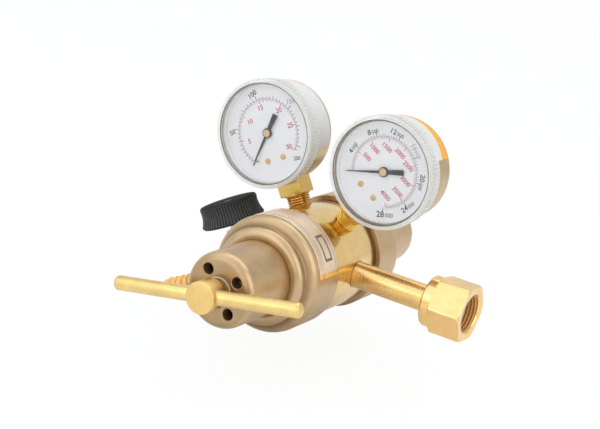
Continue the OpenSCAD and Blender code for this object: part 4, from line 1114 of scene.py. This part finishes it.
class RegulatorInlet(bpy.types.Operator):
    """Add the inlet nipple, the hexagon nut with its thread, and the washer"""

    bl_idname = "regulator.inlet"
    bl_label = "Inlet"

    def execute(self, context):
        inlet_nipple()
        inlet_nut()
        outline = [(4.5, 87.2), (9.1, 87.2), (9.1, 88.8), (8.9, 89.0), (4.7, 89.0), (4.5, 88.8)]
        washer = turned_piece("inlet_washer_disc", outline, INLET, [washer_fibre()], 64)
        stand_for(washer, "root", "washer", "inlet_washer")
        return {"FINISHED"}


def washer_fibre():
    return plastic("washer_fibre", (0.55, 0.52, 0.46), 0.6)


# Outlet needle valve


def knob_black():
    return plastic("knob_black", colours().knob, 0.5)


def valve_knob():
    side = [(17.4, KNOB_FROM), (17.95, KNOB_FROM + 0.5), (17.95, KNOB_FROM + 1.6)]
    for i in range(1, 13):
        t = i / 13
        r = (1 - t) ** 2 * 17.95 + 2 * t * (1 - t) * 15.35 + t * t * 16.3
        side.append((r, KNOB_FROM + 1.6 + t * (KNOB_H - 2.6)))
    outline = [
        (3.0, KNOB_FROM), (6.0, KNOB_FROM), (6.0, KNOB_FROM + 7), (13.2, KNOB_FROM + 7), (13.2, KNOB_FROM),
        *side,
        *last_round(16.7, KNOB_TOP, 1.2, 6),
        (4.2, KNOB_TOP), (3.2, KNOB_TOP - 1.6), (3.0, KNOB_TOP - 1.6),
    ]

    # Faces of the knob's top, which get painted shade
    def zone(r, z):
        return int(z > KNOB_TOP - 0.4 and r > 4.5)

    # Duller, and painted shade: darker than the rest of the knob
    dull_shaded = plastic("knob_top_dull", (0.014, 0.014, 0.015), 0.6, shine=0.03)
    core = turned_piece("knob_core", outline, SPINDLE, [knob_black(), dull_shaded], zone=zone)
    shiny = plastic("knob_rib_black", (0.034, 0.034, 0.035), 0.35, shine=0.45)
    radii = {"Low_Radius": 18.0, "Waist_Radius": 15.4, "High_Radius": 16.3, "Rib_Radius": 0.55}
    values = {"Count": sizes().knob_ribs, "Low": KNOB_FROM + 1.0, "High": KNOB_TOP - 1.3, **radii}
    ribs = from_tree("knob_ribs", side_ribs, SPINDLE, shiny, **values)
    stand_for(joined("valve_knob_ribbed", [core, ribs]), "knob", "knob", "valve_knob")


def knob_screw():
    under_head = KNOB_TOP - 1.6
    outline = [
        (0, KNOB_TOP - 9), (1.18, KNOB_TOP - 9), (1.18, under_head), (2.9, under_head),
        *last_round(2.9, KNOB_TOP - 0.2, 0.7, 5),
        (0, KNOB_TOP - 0.2),
    ]
    black = steel("knob_screw_black", (0.06, 0.06, 0.06), 0.35, SPINDLE)
    screw = turned_piece("knob_screw_head", outline, SPINDLE, [black], 48)
    low, high = (-3.2, -0.35, KNOB_TOP - 0.9), (3.2, 0.35, KNOB_TOP + 1)
    cut(screw, [box_piece("slot", low, high, 0.05, SPINDLE, black)])
    stand_for(screw, "knob", "steel", "knob_screw")


class RegulatorValve(bpy.types.Operator):
    """Add the outlet valve's body, its packing nut, spindle and ribbed knob"""

    bl_idname = "regulator.valve"
    bl_label = "Outlet valve"

    def execute(self, context):
        mat = brass("valve_polished", colours().body, PORT, 0.2, 0.25)
        outline = [
            (0, 21), (6.58, 21), (6.58, 30.5),
            *chamfered_hexagon(19.05, 30.5, 37.0, 1.4),
            (8.5, 37.0),
            *last_round(8.5, 66.0, 0.8, 5),
            (5.2, 66.0), (5.2, 56.2), (0, 56.2),
        ]
        barrel = turned_piece("barrel", outline, PORT, [mat], 144, 30)
        outline = [(0, 0), (8.0, 0), *last_round(8.0, 14.0, 0.8, 5), (5.5, 14.0), (5.5, 7.0), (0, 7.0)]
        boss = turned_piece("boss", outline, SPINDLE, [mat], 96)
        stand_for(joined("valve_barrel", [barrel, boss]), "root", "body_brass", "outlet_valve_body")
        outline = [
            (3.05, 14.0),
            *chamfered_hexagon(13.5, 14.0, 22.0, 1.0),
            (6.3, 22.2), (6.0, 24.4), (5.4, 25.0), (3.05, 25.0),
        ]
        nut = turned_piece("packing_nut_hexagon", outline, SPINDLE, [mat], 120, 30)
        stand_for(nut, "root", "body_brass", "valve_packing_nut")
        outline = [(0, -1), (0.9, -1), (2.6, 4.6), (3.0, 5.4), (3.0, 37.9), (2.7, 38.2), (0, 38.2)]
        grey = steel("spindle_steel", (0.55, 0.55, 0.54), 0.25, SPINDLE)
        rod = turned_piece("valve_spindle_rod", outline, SPINDLE, [grey], 48)
        stand_for(rod, "needle", "steel", "valve_spindle")
        valve_knob()
        knob_screw()
        return {"FINISHED"}


class RegulatorBarb(bpy.types.Operator):
    """Add the hose barb"""

    bl_idname = "regulator.barb"
    bl_label = "Hose barb"

    def execute(self, context):
        outline = [
            (2.2, 57.0), (4.6, 57.0), (5.18, 57.6), (5.18, 66.0),
            *chamfered_hexagon(15.875, 66.0, 72.0, 1.2, 12),
            (4.9, 72.0),
            *arc(4.4, 72.5, 0.4, 270, 180, 4),
            (4.0, 75.0),
        ]
        ridge = [(4.0, 0), (4.75, 0.05), (4.9, 0.2), (4.86, 0.5), (4.05, 4.2)]
        for i in range(7):
            outline += [(r, 75.0 + 4.4 * i + z) for r, z in ridge]
        outline += [(3.9, 105.7), (2.5, 105.8), (2.2, 105.5)]
        satin = brass("barb_satin", (0.88, 0.58, 0.24), PORT, 0.45, 0.2)
        barb = turned_piece("hose_barb_ridges", outline, PORT, [satin], 96, 30)
        stand_for(barb, "root", "bar_brass", "hose_barb")
        return {"FINISHED"}


# Gauges


def gauge_case(side, place):
    outline = [
        (0, -CASE_BACK),
        *first_round(CASE_R, -CASE_BACK, 4.5, 12),
        *last_round(CASE_R, CASE_FRONT, 0.3),
        (CASE_R - 0.6, CASE_FRONT),
        *arc(CASE_R - 0.8, CASE_FRONT - 0.3, 0.3, 90, 180, 4),
        (CASE_R - 1.1, DIAL_TOP),
        *arc(CASE_R - 4.5, 4.5 - CASE_BACK, 3.4, 0, -90, 12),
        (0, 1.1 - CASE_BACK),
    ]

    def zone(r, z):
        if z > CASE_FRONT - 0.32 and r < 27.65:
            return 2
        return int(z > DIAL_TOP - 5 and r < 27.3)

    # The inner wall above the dial is pale paint made paler still, as painted light against the shade around the
    # dial. The lip's ring is painted light on the low gauge and painted shade on the high one.
    materials = [
        brass(f"{side}_case_satin", colours().case, place, 0.32, 0.3, 600.0),
        plastic("case_wall_pale", (0.93, 0.94, 0.96), 0.5, worn=1.02),
        plastic(f"{side}_case_lip", CASE_LIP_LIGHT_AND_SHADE[side], 0.5),
    ]
    shell = turned_piece("shell", outline, place, materials, 160, zone=zone)
    bm = bmesh.new()
    revolve_into(bm, flat_ring(CASE_R, CASE_R + 0.12, BAND_BACK, BAND_FRONT), 100, BAND_START[side], 150)
    start, sweep, wide = BAND_EDGE[side]
    rows = []
    for i in range(31):
        top = BAND_BACK + wide + (0.3 - wide) * i / 30
        corners = flat_ring(CASE_R, CASE_R + 0.15, BAND_BACK, top)
        rows.append([bm.verts.new((*polar(r, start + sweep * i / 30), z)) for r, z in corners])
    skin(bm, rows, 1)
    paper = plastic("band_paper", (0.62, 0.61, 0.59), 0.45, 0.05, worn=1.04)
    edge = plastic("band_edge", (0.82, 0.36, 0.04), 0.45, 0.05, worn=1.06)
    band = finish_mesh("band", bm, place, [paper, edge])
    stand_for(joined(f"{side}_gauge_case", [shell, band]), "root", "case_brass", f"{side}_case")


def gauge_socket(side, place):
    """The square block, with a stem below it that carries the pipe thread."""
    down = place @ turn(-90, "X")
    mat = brass(f"{side}_socket_brass", colours().socket, down, 0.24, 0.2)
    # Painted light and shade: the thread's brass is darker on the low gauge and brighter on the high one
    gold = brass(f"{side}_thread_brass", THREAD_LIGHT_AND_SHADE[side], down, 0.3, 0.2)
    bottom = SOCKET_FROM - GAUGE_RISE
    block = box_piece("block", (-7, bottom + 0.2, -7), (7, -21.5, 7), 0.45, place, mat, 25)
    stem = [(1.5, -13.7), (5.8, -13.7), (6.2, -12.9), (6.15, -0.8), (7.4, 0), (7.4, 0.6), (1.5, 0.6)]
    stem = turned_piece("stem", [(r, bottom + z) for r, z in stem], down, [mat], 72)
    at = down @ shift(0, 0, bottom - 8.6)
    thread = from_tree("pipe_thread", thread_ridge, at, gold, Radius=6.12, Pitch=1.41, Turns=5.4, Ridge=0.5)
    stand_for(joined(f"{side}_gauge_socket", [block, stem, thread]), "root", "body_brass", f"{side}_socket")


class RegulatorGaugeCases(bpy.types.Operator):
    """Add each gauge's case with its blank band, and its square socket with the pipe thread"""

    bl_idname = "regulator.gauge_cases"
    bl_label = "Gauge cases"

    def execute(self, context):
        for side, place in GAUGES.items():
            gauge_case(side, place)
            gauge_socket(side, place)
        return {"FINISHED"}


class RegulatorLenses(bpy.types.Operator):
    """Add each gauge's clear lens with its ribbed skirt"""

    bl_idname = "regulator.lenses"
    bl_label = "Lenses"

    def execute(self, context):
        rim = rim_plastic("lens_rim")
        materials = [clear_lens("lens_clear"), rim, plastic("lens_seam", (0.12, 0.105, 0.08), 0.5)]
        window = flat_ring(0, 28.1, CASE_FRONT + 0.1, LENS_FRONT)
        skirt = [
            (28.1, 6.5),
            *first_round(29.8, 6.5, 0.3, 3),
            (29.85, 15.0),
            *last_round(LENS_R, LENS_FRONT, 0.7, 6),
            (28.1, LENS_FRONT),
        ]
        # Painted shade: a dark ring inside the window's edge, for the shade of the case's inner wall along the
        # lens edge
        shade_ring = flat_ring(27.65, 28.08, LENS_FRONT - 0.4, LENS_FRONT - 0.02)
        radii = {"Low_Radius": 29.75, "Waist_Radius": 29.8, "High_Radius": 29.9, "Rib_Radius": 0.3}
        values = {"Count": sizes().lens_ribs, "Low": 7.0, "High": 15.2, **radii}
        for side, place in GAUGES.items():
            bm = bmesh.new()
            for index, outline in enumerate((window, skirt, shade_ring)):
                revolve_into(bm, outline, index=index)
            glass = finish_mesh("glass", bm, place, materials, 40)
            ribs = from_tree("skirt_ribs", side_ribs, place, rim, **values)
            stand_for(joined(f"{side}_gauge_lens", [glass, ribs]), "root", "lens", f"{side}_lens")
        return {"FINISHED"}


def dial_text(words, height, x, y, tilt, place, material):
    """Flat numerals centred on a point of the dial. Each word has its own share of the height."""
    made = []
    reach = 0.0
    for word, share in words:
        curve = bpy.data.curves.new("numeral", "FONT")
        curve.body = word
        curve.size = height * share * FONT_SIZE
        curve.resolution_u = 4
        curve.extrude = 0.012
        curve.offset = height * share * (0.024 if share == 1 else 0.008)
        temp = linked("numeral", curve)
        bpy.context.view_layer.update()
        graph = bpy.context.evaluated_depsgraph_get()
        mesh = bpy.data.meshes.new_from_object(temp.evaluated_get(graph))
        bpy.data.objects.remove(temp)
        low = min(v.co.x for v in mesh.vertices)
        high = max(v.co.x for v in mesh.vertices)
        mesh.transform(shift(reach - low, 0, 0))
        reach += high - low + height * WORD_GAP
        made.append(mesh)
    reach -= height * WORD_GAP
    move = shift(x, y, PRINT_TOP) @ turn(tilt, "Z") @ shift(-reach / 2, -height / 2, 0)
    for mesh in made:
        mesh.transform(METRES @ place @ move)
        mesh.materials.clear()
        mesh.materials.append(material)
    return [linked("numeral", mesh) for mesh in made]


def dial_numerals(side, place, prints, per_unit):
    """The outer scale's numerals, in thousands with small zeros on the right dial, and the inner scale's."""
    parts = []
    for value, shade, radius, angle, tilt, height in OUTER_NUMERALS[side]:
        words = [(str(value), 1.0)] + ([("000", SMALL_ZEROS)] if side == "high" else [])
        parts += dial_text(words, height, *clockwise(radius, angle), tilt, place, prints[shade])
    step, radius, start, height, nudges = INNER_NUMERALS[side]
    for i, (right, up) in enumerate(nudges, 1):
        x, y = clockwise(radius, start + per_unit * step * i)
        parts += dial_text([(str(step * i), 1.0)], height, x + right, y + up, 0, place, prints["red"])
    return parts


def gauge_dial(side, place, white, prints):
    parts = [turned_piece("disc", flat_ring(1.3, 26.85, 11.0, DIAL_TOP), place, [white], 128)]
    for radius, width, shade in ((18.8, 0.14, "black"), (18.35, 0.11, "red")):
        bm = bmesh.new()
        line = flat_ring(radius, radius + width, DIAL_TOP + 0.02, DIAL_TOP + 0.04)
        revolve_into(bm, line, 120, -45, SCALE_SWEEP)
        parts.append(finish_mesh("band", bm, place, [prints[shade]]))
    per_unit = SCALE_SWEEP / (sizes().low_full if side == "low" else sizes().high_full)
    degrees = {"black": per_unit / OUTER_UNIT, "red": per_unit}
    at = place @ shift(0, 0, PRINT_TOP)
    for shade, count, step, radius, length, width in MARKS[side]:
        values = {"Count": count, "Radius": radius, "Length": length, "Width": width, "Height": 0.024}
        values["From"] = math.radians(SCALE_START)
        values["Step"] = math.radians(degrees[shade] * step)
        parts.append(from_tree("marks", scale_marks, at, prints[shade], False, **values))
    parts += dial_numerals(side, place, prints, per_unit)
    if side == "low":
        outline = [(0, DIAL_TOP - 0.1), (0.5, DIAL_TOP - 0.1), *last_round(0.5, 13.4, 0.2), (0, 13.4)]
        at = place @ shift(*clockwise(17.3, -140), 0)
        grey = steel("stop_steel", (0.4, 0.4, 0.4), 0.35, place)
        parts.append(turned_piece("stop", outline, at, [grey], 24))
    stand_for(joined(f"{side}_gauge_dial", parts), "root", "dial", f"{side}_dial")


def dial_screws(side, place):
    gold = brass(f"{side}_screw_brass", (0.74, 0.47, 0.17), place, 0.4, 0.2)
    outline = [
        (0, 9.0), (0.8, 9.0), (0.8, DIAL_TOP), (1.6, DIAL_TOP),
        *last_round(1.6, DIAL_TOP + 0.6, 0.5, 6),
        (0, DIAL_TOP + 0.6),
    ]
    places = [place @ shift(*clockwise(15.7, angle), 0) for angle in (-161, 161)]
    heads = [turned_piece("head", outline, at, [gold], 40) for at in places]
    stand_for(joined(f"{side}_dial_screw_pair", heads), "root", "bar_brass", f"{side}_dial_screws")


class RegulatorDials(bpy.types.Operator):
    """Add the two white dials with their numerals and scale marks"""

    bl_idname = "regulator.dials"
    bl_label = "Dials"

    def execute(self, context):
        prints = {
            "black": ink("print_black", colours().black_print),
            "red": ink("print_red", colours().red_print),
            "worn": ink("print_worn", (0.42, 0.43, 0.45)),
        }
        for side, place in GAUGES.items():
            gauge_dial(side, place, enamel("dial_enamel"), prints)
            dial_screws(side, place)
        return {"FINISHED"}


def pointer_paint():
    return plastic("pointer_black", (0.028, 0.03, 0.034), 0.45, 0.03)


class RegulatorPointers(bpy.types.Operator):
    """Add the two pointers with their brass hubs"""

    bl_idname = "regulator.pointers"
    bl_label = "Pointers"

    def execute(self, context):
        paint = pointer_paint()
        cap = [(0, 12.2), (2.7, 12.2), *last_round(2.7, 13.2, 0.2), (0, 13.2)]
        pin = [(0, 13.1), (2.1, 13.1), *last_round(2.1, 13.6, 0.15), (0.9, 13.6), (0.8, 13.5), (0, 13.5)]
        for side, place in GAUGES.items():
            right = [(0.12, POINTER_TIP[side]), (0.75, 2.2), (1.15, -3.0), (1.55, -11.6)]
            shape = right + [(-x, y) for x, y in reversed(right)]
            bm = bmesh.new()
            ends = ((1, 12.5), (0.94, 13.0))
            skin(bm, [[bm.verts.new((x * share, y, z)) for x, y in shape] for share, z in ends])
            blade = finish_mesh("blade", bm, place @ turn(135, "Z"), [paint], 25)
            boss = turned_piece("boss", cap, place, [paint], 64)
            gold = brass(f"{side}_hub_brass", (0.82, 0.57, 0.29), place, 0.38, 0.35, 1500.0)
            hand = joined(f"{side}_gauge_pointer", [blade, boss, turned_piece("hub", pin, place, [gold], 64)])
            stand_for(hand, f"{side}_hand", "pointer", f"{side}_pointer")
        return {"FINISHED"}


class RegulatorInner(bpy.types.Operator):
    """Give the pieces inside the regulator their materials"""

    bl_idname = "regulator.inner"
    bl_label = "Inner pieces"

    def execute(self, context):
        made = {
            "body_brass": brass("inner_brass", colours().body, BODY, 0.25),
            "bonnet_cast": bonnet_metal("bonnet_satin"),
            "plate": foil("plate_foil", colours().plate),
            "bar_brass": brass("inner_bright", colours().bar, BODY, 0.25),
            "pale_brass": brass("inner_pale", colours().inlet, BODY, 0.25),
            "steel": steel("inner_steel", (0.60, 0.60, 0.58), 0.3),
            "spring_steel": steel("spring_wire", (0.32, 0.32, 0.33), 0.35),
            "rubber": plastic("diaphragm_rubber", (0.02, 0.02, 0.02), 0.7),
            "bronze": brass("sintered_bronze", (0.45, 0.26, 0.12), BODY, 0.55),
            "washer": washer_fibre(),
            "knob": knob_black(),
            "case_brass": brass("inner_case", colours().case, BODY, 0.3),
            "lens": rim_plastic("lens_rim"),
            "dial": enamel("dial_enamel"),
            "pointer": pointer_paint(),
        }
        slots = {s["node"]: s["material_slot"] for s in frame["record"]["subparts"]}
        for name, obj in frame["nodes"].items():
            obj.data.materials.clear()
            obj.data.materials.append(made[slots[name]])
        return {"FINISHED"}


# Panel


class RegulatorPanel(bpy.types.Panel):
    """Lists the pieces of the regulator"""

    bl_idname = "VIEW3D_PT_regulator"
    bl_label = "Regulator"
    bl_space_type = "VIEW_3D"
    bl_region_type = "UI"
    bl_category = "Regulator"

    def draw(self, context):
        for group in (context.scene.regulator_sizes, context.scene.regulator_colours):
            box = self.layout.box()
            for key in group.bl_rna.properties.keys():
                if key not in ("rna_type", "name"):
                    box.prop(group, key)
        for operator in OPERATORS:
            self.layout.operator(operator.bl_idname)


OPERATORS = (
    RegulatorStage,
    RegulatorBody,
    RegulatorBonnets,
    RegulatorPlate,
    RegulatorTeeScrew,
    RegulatorInlet,
    RegulatorValve,
    RegulatorBarb,
    RegulatorGaugeCases,
    RegulatorLenses,
    RegulatorDials,
    RegulatorPointers,
    RegulatorInner,
)
CLASSES = (RegulatorSizes, RegulatorColours, *OPERATORS, RegulatorPanel)


def register():
    for cls in CLASSES:
        bpy.utils.register_class(cls)
    bpy.types.Scene.regulator_sizes = bpy.props.PointerProperty(type=RegulatorSizes)
    bpy.types.Scene.regulator_colours = bpy.props.PointerProperty(type=RegulatorColours)


def unregister():
    del bpy.types.Scene.regulator_colours
    del bpy.types.Scene.regulator_sizes
    for cls in reversed(CLASSES):
        bpy.utils.unregister_class(cls)


def main():
    register()
    for operator in OPERATORS:
        group, name = operator.bl_idname.split(".")
        getattr(getattr(bpy.ops, group), name)()


if __name__ == "__main__":
    main()
